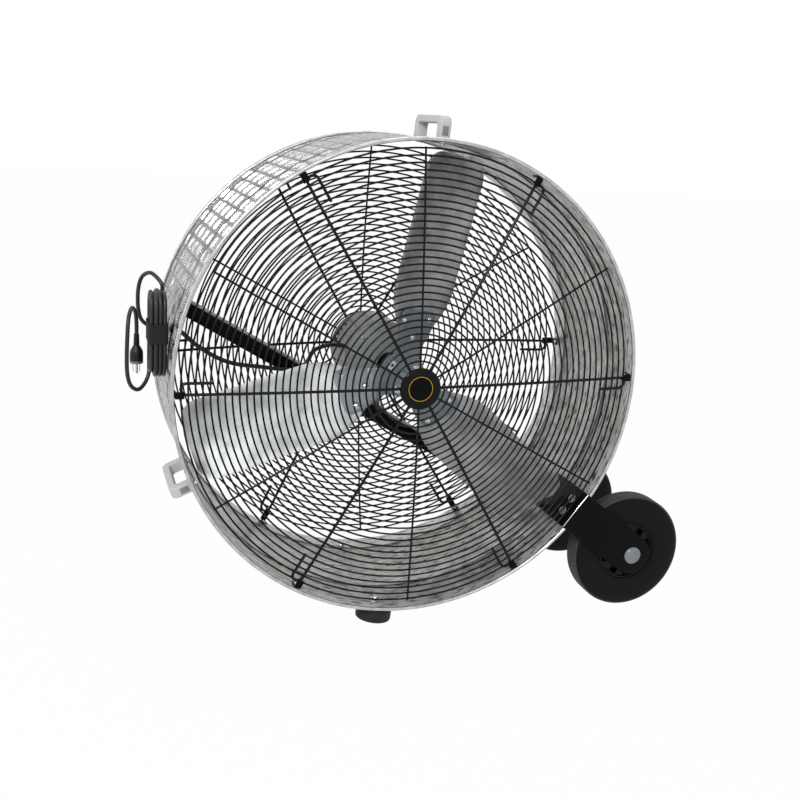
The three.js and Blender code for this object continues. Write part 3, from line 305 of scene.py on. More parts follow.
@dataclass(frozen=True)
class RolledSheet(Finish):
    """A face of the drum's sheet, with short press marks that run round the drum; the marks are darkened with
    painted shade, and the swages get painted shade with some dirt.

    Attributes:
        painted_shade: sRGB hex colour of the painted shade in the press marks and in the swages.
        mark_length: length of the press marks, mm.
        mark_width: width of the press marks, mm.
        swages: places of the swages across the sheet, mm, which get painted shade with some dirt.
        swage_width: width of the band of painted shade and dirt, mm.
    """

    # Painted shade: the colour that darkens the press marks and the swages.
    painted_shade: str = "#6a6965"
    mark_length: float = 26.0
    mark_width: float = 5.0
    swages: tuple[float, float] = SWAGES
    swage_width: float = 14.0

    def dress(self, tree: bpy.types.NodeTree, shader: bpy.types.Node) -> None:
        """Adds the marks, laid out on the sheet's own map, and paints shade into the marks and the swages."""
        sheet = add_node(tree, "ShaderNodeUVMap", uv_map="sheet").outputs["UV"]
        colour = self.mottle(tree, shader, add_node(tree, "ShaderNodeTexCoord").outputs["Object"])
        scale = (1 / (self.mark_length * MM), 1 / (self.mark_width * MM), 1.0)
        stretch = add_node(tree, "ShaderNodeMapping", {"Scale": scale}, {"Vector": sheet}).outputs[0]
        dents = ramp(tree, noise(tree, stretch, 1.0, 1.0), (0.56, 0.66), (0.0, 1.0))
        # Painted shade: the press marks, then the swages, are darkened toward the shade colour.
        dent_shaded = blend(tree, dents, colour, self.painted_shade)
        swage_shaded = blend(tree, self.swage_shade_and_grime(tree, sheet), dent_shaded, self.painted_shade)
        tree.links.new(swage_shaded, shader.inputs["Base Color"])
        self.emboss(tree, shader, dents, 0.7, invert=True)

    def swage_shade_and_grime(self, tree: bpy.types.NodeTree, sheet: Socket) -> Socket:
        """Share of painted shade and dirt at a point: strong in a swage and nothing beside it.

        Args:
            tree: node tree of the material.
            sheet: place on the unrolled sheet, in metres.

        Returns:
            The share, 0 to 1.
        """
        across = add_node(tree, "ShaderNodeSeparateXYZ", links={0: sheet}).outputs["Y"]
        bands = []
        for middle in self.swages:
            off = add_node(tree, "ShaderNodeMath", {1: middle * MM}, {0: across}, operation="SUBTRACT")
            away = add_node(tree, "ShaderNodeMath", links={0: off.outputs[0]},
                            operation="ABSOLUTE").outputs[0]
            bands.append(ramp(tree, away, (0.0, self.swage_width / 2 * MM), (0.8, 0.0)))
        return maximum(tree, *bands)


@dataclass(frozen=True)
class BrushedSheet(Finish):
    """Sheet metal with fine brush lines along the local x axis of the pattern.

    Attributes:
        turn: angle of the lines about the drum's axis, degrees.
    """

    turn: float = 0.0

    def dress(self, tree: bpy.types.NodeTree, shader: bpy.types.Node) -> None:
        """Adds the brush lines."""
        place = add_node(tree, "ShaderNodeTexCoord").outputs["Object"]
        self.mottle(tree, shader, place)
        across = 1 / (self.grain * MM)
        stretch = {"Rotation": (0.0, math.radians(self.turn), 0.0), "Scale": (6.0, across, across)}
        lines = add_node(tree, "ShaderNodeMapping", stretch, {"Vector": place}).outputs[0]
        self.emboss(tree, shader, noise(tree, lines, 1.0, 3.0), 0.4)


@dataclass(frozen=True)
class WovenTape(Finish):
    """Woven hook-and-loop tape: a square weave with a fuzzy, dull face.

    Attributes:
        thread: spacing of the threads, mm.
    """

    thread: float = 1.2

    def dress(self, tree: bpy.types.NodeTree, shader: bpy.types.Node) -> None:
        """Adds the threads, in two crossing waves."""
        place = add_node(tree, "ShaderNodeTexCoord").outputs["Object"]
        self.mottle(tree, shader, place)
        values = {"Scale": 1 / (6.28 * self.thread * MM), "Distortion": 0.6}
        waves = [
            add_node(tree, "ShaderNodeTexWave", values, {"Vector": place}, bands_direction=way).outputs["Fac"]
            for way in ("Y", "Z")
        ]
        self.emboss(tree, shader, maximum(tree, *waves), 0.8)


# Mill-finish aluminium bars of the tread plate, polished where feet and hands rub them. Their bright colour
# is painted light that the bars' tops catch, and their strong light and dark patches are painted glints and
# reflections.
TREAD_BARS_LIT = Finish("aluminium_tread_bars", "#ecedeb", "#383938", metallic=1.0, roughness=0.28, grain=3.0,
                     relief=0.05,
                     patch=15.0)
# The ground between the bars: greyer than the bars as painted shade, with press marks from the rolls that are
# darkened as painted shade.
TREAD_GROUND_SHADED = RolledSheet("aluminium_tread_ground", "#abacaa", "#2c2d2b", metallic=1.0, roughness=0.34,
                           relief=0.15,
                           patch=24.0, painted_shade="#2b2c2a", mark_length=24.0, mark_width=7.0)
# The same sheet's inner face is flatter and duller, a warm light grey with faint press marks; the marks and
# the swages are darkened with painted shade.
INNER_SHEET = RolledSheet("aluminium_inner_face", "#fdfcf8", "#5f5e5a", metallic=0.6, roughness=0.32,
                          relief=0.4,
                          patch=34.0, painted_shade="#2c2b28")
# The rolled edge is burnished by its forming rolls.
ROLLED_BEAD = Finish("burnished_bead", "#e0e1e0", "#868786", metallic=1.0, roughness=0.22, patch=18.0)
# Gloss black powder coat on steel wire: thin, with a slight orange peel and sharp lights.
BLACK_WIRE = Finish("black_powder_coat", "#0a0b0c", "#060708", roughness=0.2, grain=1.5, specular=0.2)
# Satin black powder coat on bent plate: an even, slightly grained black.
BLACK_PLATE = Finish("satin_black_powder_coat", "#070708", "#040405", roughness=0.3, grain=1.2, relief=0.05,
                     specular=0.08)
# Gloss moulded ABS.
BLACK_ABS = Finish("gloss_black_abs", "#070809", "#050506", roughness=0.14, specular=0.16)
# Satin moulded ABS, the middle of the badge.
SATIN_ABS = Finish("satin_black_abs", "#050506", "#030304", roughness=0.35, specular=0.08)
# Bright zinc plate on steel: cold and slightly blue.
ZINC = Finish("bright_zinc_plate", "#e3e6e8", "#bcc0c3", metallic=1.0, roughness=0.2, patch=12.0)
# Rolled aluminium sheet of the blades: a dull oxide grey, brushed from hub to tip. Its strong light and dark
# patches are brush streaks and painted reflections of the drum's wall.
BLADE_SHEET = BrushedSheet("rolled_aluminium_blade", "#e6e8e9", "#55585a", metallic=0.75, roughness=0.36,
                           grain=1.6,
                           relief=0.03)
# Baked enamel on pressed steel: a dull blue grey.
SPIDER_ENAMEL = Finish("blue_grey_enamel", "#979fa5", "#7a8288", metallic=0.4, roughness=0.36, specular=0.3)
# Machined steel of the hub barrel and the shaft.
MACHINED = Finish("machined_steel", "#b9bcbf", "#9ea2a6", metallic=1.0, roughness=0.3, patch=8.0)
# Grey paint on the motor's rolled shell.
MOTOR_PAINT = Finish("grey_motor_paint", "#7c8083", "#66696c", roughness=0.28, grain=1.0, relief=0.04,
                     specular=0.45)
# Lighter die-cast end bell, painted.
BELL_PAINT = Finish("light_grey_die_cast", "#a9adaf", "#94989a", roughness=0.5, grain=1.4, relief=0.08,
                    specular=0.3)
# Moulded nylon handles: light grey with a faint texture.
GREY_NYLON = Finish("light_grey_nylon", "#d3d4d2", "#c4c5c3", roughness=0.42, grain=0.8, relief=0.05)
# Painted shade of the pocket in a handle's leg: a darker copy of the nylon.
POCKET_SHADE = Finish("grey_nylon_pocket", "#8f9190", "#7d7f7e", roughness=0.6)
# Moulded polypropylene wheel: satin black.
WHEEL_BLACK = Finish("satin_black_polypropylene", "#0b0b0c", "#070708", roughness=0.25, grain=1.0,
                     relief=0.05, specular=0.16)
# Tyre rubber: near black, dusty on its tread.
TYRE_RUBBER = Finish("black_tyre_rubber", "#0d0e0f", "#08090a", roughness=0.45, grain=0.9, relief=0.1,
                     patch=18.0, specular=0.12)
# The tread is dusty and scuffed, so it looks grey beside the tyre's side.
TYRE_TREAD = Finish("dusty_tyre_tread", "#4c4d4f", "#333436", roughness=0.6, grain=0.9, relief=0.1,
                    patch=14.0, specular=0.25)
# Moulded rubber of the feet: a little greyer and duller than the tyres.
FOOT_RUBBER = Finish("dark_moulded_rubber", "#2c2d30", "#232426", roughness=0.7, grain=0.8, relief=0.08,
                     specular=0.25)
# Acetal push cap on the axle.
CAP_GREY = Finish("grey_acetal", "#8d959a", "#7f878c", roughness=0.16)
# Thermoplastic jacket of the cord: dark grey with a waxy sheen.
CORD_JACKET = Finish("dark_grey_cord_jacket", "#2d2f33", "#232528", roughness=0.38, grain=0.7, relief=0.03,
                     patch=25.0,
                     specular=0.35)
# Moulded vinyl of the plug and its boot.
PLUG_VINYL = Finish("black_vinyl", "#151618", "#101112", roughness=0.4, grain=0.7, relief=0.03, specular=0.3)
# Grey face of the plug.
PLUG_FACE = Finish("grey_vinyl", "#7d8185", "#6f7376", roughness=0.5)
# Nickel plate on the plug's blades.
NICKEL = Finish("nickel_plate", "#cfcac0", "#bdb8ae", metallic=1.0, roughness=0.2)
# Brass-toned foil ring of the badge.
GOLD_FOIL = Finish("gold_foil", "#d3a53a", "#b98d2c", metallic=1.0, roughness=0.25)
# Woven tape of the cord's strap.
TAPE = WovenTape("woven_hook_and_loop_tape", "#2b2c2e", "#212224", roughness=0.9, relief=0.25, specular=0.2)
# Painted shade inside a vent slot that opens into the motor.
SLOT_DARK = Finish("slot_shadow", "#0a0a0b", "#070708", roughness=0.8, specular=0.1)

_materials: dict[str, bpy.types.Material] = {}


def material_of(finish: Finish) -> bpy.types.Material:
    """Returns the material of a finish, made once."""
    if finish.name not in _materials:
        _materials[finish.name] = finish.build()
    return _materials[finish.name]


# ---------------------------------------------------------------- mesh tools


@dataclass(frozen=True)
class DrumFrame:
    """Where the drum's frame lies in the part's frame.

    Attributes:
        origin: the middle of the front rim, in metres.
    """

    origin: Vector

    def at(self, angle: float = 0.0, y: float = 0.0, radial: float = 0.0) -> Matrix:
        """Placement of a local frame: x outward, y to the rear, z along the wall, in millimetres.

        Args:
            angle: direction from the drum's axis, degrees.
            y: distance behind the front rim.
            radial: distance of the local origin from the drum's axis.

        Returns:
            Matrix from local millimetres to the part's metres.
        """
        turn = Matrix.Rotation(-math.radians(angle), 4, "Y")
        return (
            Matrix.Translation(self.origin)
            @ Matrix.Scale(MM, 4)
            @ turn
            @ Matrix.Translation((radial, y, 0.0))
        )


def edges_of(made: dict[str, list]) -> list[bmesh.types.BMEdge]:
    """Edges among the geometry that an operator made."""
    return [part for part in made["geom"] if isinstance(part, bmesh.types.BMEdge)]


def verts_of(made: dict[str, list]) -> list[bmesh.types.BMVert]:
    """Vertices among the geometry that an operator made."""
    return [part for part in made["geom"] if isinstance(part, bmesh.types.BMVert)]


def edges_at(verts: Sequence[bmesh.types.BMVert]) -> list[bmesh.types.BMEdge]:
    """Edges that end at any of some vertices."""
    return list({edge for vert in verts for edge in vert.link_edges})


def spin_line(bm: BMesh, points: Sequence[Point], axis: Point, steps: int, closed: bool = False) -> None:
    """Spins a line once about an axis through the origin.

    Args:
        bm: mesh that gets the surface.
        points: points of the line.
        axis: direction of the axis.
        steps: number of steps round it.
        closed: whether the last point joins the first.
    """
    verts = [bm.verts.new(point) for point in points]
    ends = verts[1:] + (verts[:1] if closed else [])
    lines = [bm.edges.new(pair) for pair in zip(verts, ends)]
    bmesh.ops.spin(bm, geom=verts + lines, cent=(0, 0, 0), axis=axis, angle=2 * math.pi, steps=steps,
                   use_merge=True)
    bmesh.ops.remove_doubles(bm, verts=bm.verts[:], dist=1e-4)


def revolve(bm: BMesh, profile: Profile, steps: int = 48, closed: bool = False) -> None:
    """Spins a profile about the y axis.

    Args:
        bm: mesh that gets the surface.
        profile: (radius, y) pairs; an open one starts and ends on the axis.
        steps: number of steps round the axis.
        closed: whether the last point joins the first.
    """
    spin_line(bm, [(r, y, 0.0) for r, y in profile], (0, 1, 0), steps, closed)


def turned_x(bm: BMesh, profile: Profile, steps: int = 24) -> None:
    """Spins a profile about the x axis.

    Args:
        bm: mesh that gets the surface.
        profile: (radius, x) pairs, from the axis to the axis or round a bore.
        steps: number of steps round the axis.
    """
    spin_line(bm, [(x, r, 0.0) for r, x in profile], (1, 0, 0), steps)


def frames_along(path: Sequence[Vector]) -> list[Matrix]:
    """Frames that follow a path without twisting.

    Args:
        path: points of the path.

    Returns:
        One matrix per point, its z axis along the path.
    """
    ways = []
    for i, _ in enumerate(path):
        before, after = path[max(i - 1, 0)], path[min(i + 1, len(path) - 1)]
        ways.append((after - before).normalized())
    turn = ways[0].to_track_quat("Z", "Y")
    frames = [Matrix.Translation(path[0]) @ turn.to_matrix().to_4x4()]
    for point, old, new in zip(path[1:], ways, ways[1:]):
        turn = old.rotation_difference(new) @ turn
        frames.append(Matrix.Translation(point) @ turn.to_matrix().to_4x4())
    return frames


def sweep(bm: BMesh, path: Sequence[Vector], radius: float, sides: int) -> None:
    """Draws a round wire along a path, with both ends closed.

    Args:
        bm: mesh that gets the wire.
        path: points of its centreline.
        radius: radius of the wire.
        sides: sides of its section.
    """
    frames = frames_along(path)
    made = bmesh.ops.create_circle(bm, cap_ends=True, segments=sides, radius=radius, matrix=frames[0])
    edges = edges_at(made["verts"])
    for before, after in zip(frames, frames[1:]):
        step = bmesh.ops.extrude_edge_only(bm, edges=edges)
        moved = verts_of(step)
        kept = set(moved)
        edges = [edge for edge in edges_of(step) if edge.verts[0] in kept and edge.verts[1] in kept]
        bmesh.ops.transform(bm, matrix=after @ before.inverted(), verts=moved)
    bmesh.ops.contextual_create(bm, geom=edges)


def prism(bm: BMesh, outline: Profile, low: float, height: float) -> None:
    """Extrudes a flat outline into a solid along z.

    Args:
        bm: empty mesh that gets the solid.
        outline: (x, y) pairs of its corners.
        low: z of the lower face.
        height: height of the solid.
    """
    face = bm.faces.new([bm.verts.new((x, y, low)) for x, y in outline])
    made = bmesh.ops.extrude_face_region(bm, geom=[face], use_keep_orig=True)
    bmesh.ops.translate(bm, vec=(0, 0, height), verts=verts_of(made))
    bmesh.ops.recalc_face_normals(bm, faces=bm.faces[:])


def block(bm: BMesh, low: Point, high: Point, soft: float) -> None:
    """Adds a box with softened edges.

    Args:
        bm: mesh that gets the box.
        low: lowest corner.
        high: highest corner.
        soft: width of the bevel.
    """
    size = [b - a for a, b in zip(low, high)]
    middle = [(a + b) / 2 for a, b in zip(low, high)]
    matrix = Matrix.Translation(middle) @ Matrix.Diagonal((*size, 1.0))
    made = bmesh.ops.create_cube(bm, size=1.0, matrix=matrix)
    soften(bm, edges_at(made["verts"]), soft)


def soften(bm: BMesh, edges: list[bmesh.types.BMEdge], width: float, segments: int = 2) -> None:
    """Bevels edges.

    Args:
        bm: mesh that holds them.
        edges: edges to bevel.
        width: offset of the bevel.
        segments: steps across the bevel.
    """
    bmesh.ops.bevel(
        bm, geom=edges, offset=width, segments=segments, profile=0.5, affect="EDGES", material=-1,
        clamp_overlap=True
    )


def nut(bm: BMesh, across: float, low: float, high: float) -> None:
    """Adds a hexagonal nut or head about the x axis.

    Args:
        bm: mesh that gets it.
        across: distance over two flats.
        low: its inner x.
        high: its outer x.
    """
    matrix = Matrix.Translation(((low + high) / 2, 0, 0)) @ Matrix.Rotation(math.pi / 2, 4, "Y")
    radius = across / math.sqrt(3)
    made = bmesh.ops.create_cone(
        bm, cap_ends=True, segments=6, radius1=radius, radius2=radius, depth=high - low, matrix=matrix
    )
    soften(bm, edges_at(made["verts"]), 0.6)


def smooth_path(points: Sequence[Sequence[float]], step: float) -> list[Vector]:
    """Runs a smooth line through points.

    Args:
        points: the points, in order.
        step: rough distance between the points of the line.

    Returns:
        Points of a centripetal Catmull-Rom line.
    """
    knots = [Vector(p) for p in points]
    ends = [2 * knots[0] - knots[1], *knots, 2 * knots[-1] - knots[-2]]
    line = [knots[0]]
    for a, b, c, d in zip(ends, ends[1:], ends[2:], ends[3:]):
        t1, t2, t3 = ((q - p).length ** 0.5 for p, q in ((a, b), (b, c), (c, d)))
        leave = (b - a) / t1 - (c - a) / (t1 + t2) + (c - b) / t2
        arrive = (c - b) / t2 - (d - b) / (t2 + t3) + (d - c) / t3
        m1, m2 = leave * t2, arrive * t2
        count = max(2, round((c - b).length / step))
        for i in range(1, count + 1):
            s = i / count
            line.append(
                (2 * s**3 - 3 * s**2 + 1) * b
                + (s**3 - 2 * s**2 + s) * m1
                + (3 * s**2 - 2 * s**3) * c
                + (s**3 - s**2) * m2
            )
    return line


def add_object(name: str, data: bpy.types.ID) -> bpy.types.Object:
    """Makes an object and puts it into the scene."""
    obj = bpy.data.objects.new(name, data)
    bpy.context.scene.collection.objects.link(obj)
    return obj


def add_mesh(name: str, bm: BMesh) -> bpy.types.Object:
    """Makes an object of a mesh under construction, and frees that."""
    mesh = bpy.data.meshes.new(name)
    bm.to_mesh(mesh)
    bm.free()
    return add_object(name, mesh)


@dataclass
class Maker:
    """Turns meshes to pieces of the fan.

    Attributes:
        drum: the drum's frame.
        made: names of the pieces made so far.
    """

    drum: DrumFrame
    made: list[str] = field(default_factory=list)

    def piece(
        self,
        name: str,
        build: Callable[[BMesh], object],
        finish: Finish,
        place: Matrix,
        body: str = ROOT,
        replaces: Sequence[str] = (),
        slot: str | None = None,
        sharp: float = 35.0,
    ) -> bpy.types.Object:
        """Makes one piece.

        Args:
            name: name of the piece.
            build: adds the piece's faces to an empty mesh, in local millimetres.
            finish: its finish.
            place: its placement.
            body: the body it rides on.
            replaces: solids that it stands for.
            slot: the record's material slot, or None for that of the first solid it stands for.
            sharp: angle in degrees past which an edge looks sharp.

        Returns:
            The new object.
        """
        bm = bmesh.new()
        build(bm)
        bmesh.ops.transform(bm, matrix=place, verts=bm.verts[:])
        bmesh.ops.remove_doubles(bm, verts=bm.verts[:], dist=1e-7)
        bmesh.ops.recalc_face_normals(bm, faces=bm.faces[:])
        for face in bm.faces:
            face.smooth = True
        for edge in bm.edges:
            edge.smooth = edge.calc_face_angle(0.0) < math.radians(sharp)
        obj = add_mesh(name, bm)
        obj.data.materials.append(material_of(finish))
        return self.adopt(obj, body, replaces, slot)

    def adopt(
        self, obj: bpy.types.Object, body: str, replaces: Sequence[str] = (), slot: str | None = None
    ) -> bpy.types.Object:
        """Makes an object a piece that rides on a body.

        Args:
            obj: the object.
            body: the body's name.
            replaces: solids that it stands for.
            slot: the record's material slot, if it isn't the first solid's; it is not used.

        Returns:
            The same object.
        """
        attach(obj, body)
        if replaces:
            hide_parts(*replaces)
        slot = slot or SLOTS.get(replaces[0] if replaces else "")
        self.made.append(obj.name)
        LOG.info("piece %s rides on %s", obj.name, body)
        return obj

    def softened(self, node: str, finish: Finish, width: float) -> bpy.types.Object:
        """Makes a copy of one of the frame's solids with softened edges, which stands for it.

        Args:
            node: the solid's name.
            finish: its finish.
            width: width of the bevel.

        Returns:
            The new object.
        """

        def copy(bm: BMesh) -> None:
            """Merges the solid's triangles and bevels its edges."""
            bm.from_mesh(NODES[node].data)
            bmesh.ops.remove_doubles(bm, verts=bm.verts[:], dist=1e-5)
            bmesh.ops.dissolve_limit(bm, angle_limit=math.radians(1), verts=bm.verts[:], edges=bm.edges[:])
            edges = [edge for edge in bm.edges if edge.calc_face_angle(0.0) > math.radians(35)]
            soften(bm, edges, width * MM)

        return self.piece(f"{node}_dressed", copy, finish, Matrix.Identity(4), ROOT, [node])


NODES: dict[str, bpy.types.Object] = {}
SLOTS: dict[str, str] = {}


# ---------------------------------------------------------------- drum


@dataclass
class DrumShell:
    """The rolled tread-plate drum: sheet, beads, swages, raised bars and its lapped seam."""

    wall_in: float = 474.6
    wall_out: float = 477.0
    radius: float = 482.6
    depth: float = DEPTH
    bead: float = 4.0
    swage_width: float = 12.0
    swage_depth: float = 3.0
    swages: tuple[float, float] = SWAGES
    steps: int = 192
    bar_group: float = 31.0
    bar_length: float = 25.0
    bar_width: float = 3.0
    bar_height: float = 1.3
    bars: int = 5
    seam_angle: float = 70.0
    seam_width: float = 18.0

    def bead_points(self, side: Side) -> list[tuple[float, float]]:
        """Section of one rolled bead, from the inner wall round to the outer face.

        Args:
            side: the rim.

        Returns:
            (radius, y) pairs.
        """
        middle = self.radius - self.bead
        start, end = math.pi, 3 * math.pi - math.acos((middle - self.wall_out) / self.bead)
        points = []
        for i in range(15):
            turn = start + (end - start) * i / 14
            y = self.bead + self.bead * math.sin(turn)
            points.append((middle + self.bead * math.cos(turn), y if side is Side.FRONT else self.depth - y))
        return points

    def swage_points(self, face: float, middle: float) -> list[tuple[float, float]]:
        """Section of one swage of a face, front to rear.

        Args:
            face: radius of the face.
            middle: y of the swage.

        Returns:
            (radius, y) pairs.
        """
        half = self.swage_width / 2
        return [
            (face - self.swage_depth * (0.5 + 0.5 * math.cos(math.pi * t)), middle + half * t)
            for t in (-1, -0.66, -0.33, 0, 0.33, 0.66, 1)
        ]

    def sheet(self, bm: BMesh) -> None:
        """Spins the sheet's section and lays the sheet's map on it."""
        outside = [p for middle in self.swages for p in self.swage_points(self.wall_out, middle)]
        inside = [p for middle in self.swages for p in self.swage_points(self.wall_in, middle)][::-1]
        front, rear = self.bead_points(Side.FRONT), self.bead_points(Side.REAR)[::-1]
        revolve(bm, [*front, *outside, *rear, *inside], self.steps, closed=True)
        self.lay_map(bm)

    def lay_map(self, bm: BMesh) -> None:
        """Gives each corner its place on the unrolled sheet, in metres."""
        layer = bm.loops.layers.uv.new("sheet")
        half = 0.5 * (self.wall_in + self.wall_out)
        for face in bm.faces:
            middle = face.calc_center_median()
            home = math.atan2(middle.z, middle.x)
            for loop in face.loops:
                turn = math.atan2(loop.vert.co.z, loop.vert.co.x)
                turn += 2 * math.pi * round((home - turn) / (2 * math.pi))
                loop[layer].uv = (half * turn * MM, loop.vert.co.y * MM)

    def dress(self, sheet: bpy.types.Object, drum: DrumFrame) -> None:
        """Gives the sheet its outer, inner and bead finishes.

        Args:
            sheet: the finished sheet.
            drum: the drum's frame.
        """
        for finish in (INNER_SHEET, ROLLED_BEAD):
            sheet.data.materials.append(material_of(finish))
        for face in sheet.data.polygons:
            spot = (face.center - drum.origin) / MM
            radius = math.hypot(spot.x, spot.z)
            if spot.y < 2 * self.bead or spot.y > self.depth - 2 * self.bead:
                face.material_index = 2
            elif radius < 0.5 * (self.wall_in + self.wall_out) and self.faces_in(face, spot):
                face.material_index = 1

    @staticmethod
    def faces_in(face: bpy.types.MeshPolygon, spot: Vector) -> bool:
        """Whether a face of the sheet looks toward the drum's axis."""
        return face.normal.x * spot.x + face.normal.z * spot.z < 0

    def tread(self, bm: BMesh) -> None:
        """Stamps the groups of raised bars, turned a quarter from one group to the next."""
        columns = 2 * round(math.pi * self.wall_out / self.bar_group)
        turn = 2 * math.pi / columns
        rows = int((self.depth - 20) / self.bar_group)
        start = (self.depth - rows * self.bar_group) / 2 + self.bar_group / 2
        for column in (0, 1):
            for row in range(rows):
                self.group(bm, start + row * self.bar_group, column * turn, (row + column) % 2 == 0)
        bmesh.ops.spin(
            bm,
            geom=bm.verts[:] + bm.edges[:] + bm.faces[:],
            cent=(0, 0, 0),
            axis=(0, 1, 0),
            angle=2 * math.pi - 2 * turn,
            steps=columns // 2 - 1,
            use_duplicate=True,
        )

    def group(self, bm: BMesh, y: float, angle: float, around: bool) -> None:
        """Adds one group of parallel bars.

        Args:
            bm: mesh that gets them.
            y: middle of the group.
            angle: its place round the drum, radians.
            around: whether the bars run round the drum, or along it.
        """
        pitch = self.bar_length / (self.bars - 0.6)
        for i in range(self.bars):
            off = (i - (self.bars - 1) / 2) * pitch
            at_y, half = (y + off, self.bar_width / 2) if around else (y, self.bar_length / 2)
            if any(abs(at_y - middle) < half + self.swage_width / 2 for middle in self.swages):
                continue
            size = (self.bar_width, self.bar_length) if around else (self.bar_length, self.bar_width)
            turn = Matrix.Rotation(angle + (0 if around else off / self.wall_out), 4, "Y")
            spot = Matrix.Translation((self.wall_out + self.bar_height / 2 - 0.1, at_y, 0))
            lie = Matrix.Diagonal((1, size[0] / 2, size[1] / 2, 1)) @ Matrix.Rotation(math.pi / 2, 4, "Y")
            self.bar(bm, turn @ spot @ lie)

    def bar(self, bm: BMesh, matrix: Matrix) -> None:
        """Adds one raised bar: a low frustum with sloping sides.

        Args:
            bm: mesh that gets it.
            matrix: placement of a bar that is 2 long and 2 wide.
        """
        corner = Matrix.Rotation(math.pi / 4, 4, "Z")
        bmesh.ops.create_cone(
            bm,
            cap_ends=True,
            segments=4,
            radius1=math.sqrt(2),
            radius2=0.55 * math.sqrt(2),
            depth=self.bar_height + 0.2,
            matrix=matrix @ corner,
        )

    def seam(self, bm: BMesh) -> None:
        """Adds the lap of the sheet's two ends, inside the drum, with its row of rivets."""
        half = self.seam_width / 2
        inner = self.wall_in
        ends = [9, *(middle + way * 7 for middle in self.swages for way in (-1, 1)), self.depth - 9]
        for low, high in zip(ends[::2], ends[1::2]):
            block(bm, (inner - 1.6, low, -half), (inner + 0.6, high, half), 0.5)
        for y in (30, 85, 150, 215, 280, 360):
            matrix = Matrix.Translation((inner - 1.6, y, 0)) @ Matrix.Diagonal((0.5, 1, 1, 1))
            bmesh.ops.create_uvsphere(bm, u_segments=12, v_segments=8, radius=3.2, matrix=matrix)

    def build(self, maker: Maker) -> None:
        """Makes the drum's pieces."""
        drum = maker.drum
        sheet = maker.piece("drum_sheet", self.sheet, TREAD_GROUND_SHADED, drum.at(), replaces=["drum_shell"])
        self.dress(sheet, drum)
        maker.piece("drum_tread_bars", self.tread, TREAD_BARS_LIT, drum.at(), slot="tread_sheet", sharp=20)
        maker.piece("drum_seam", self.seam, INNER_SHEET, drum.at(self.seam_angle), slot="tread_sheet")


# ---------------------------------------------------------------- guards


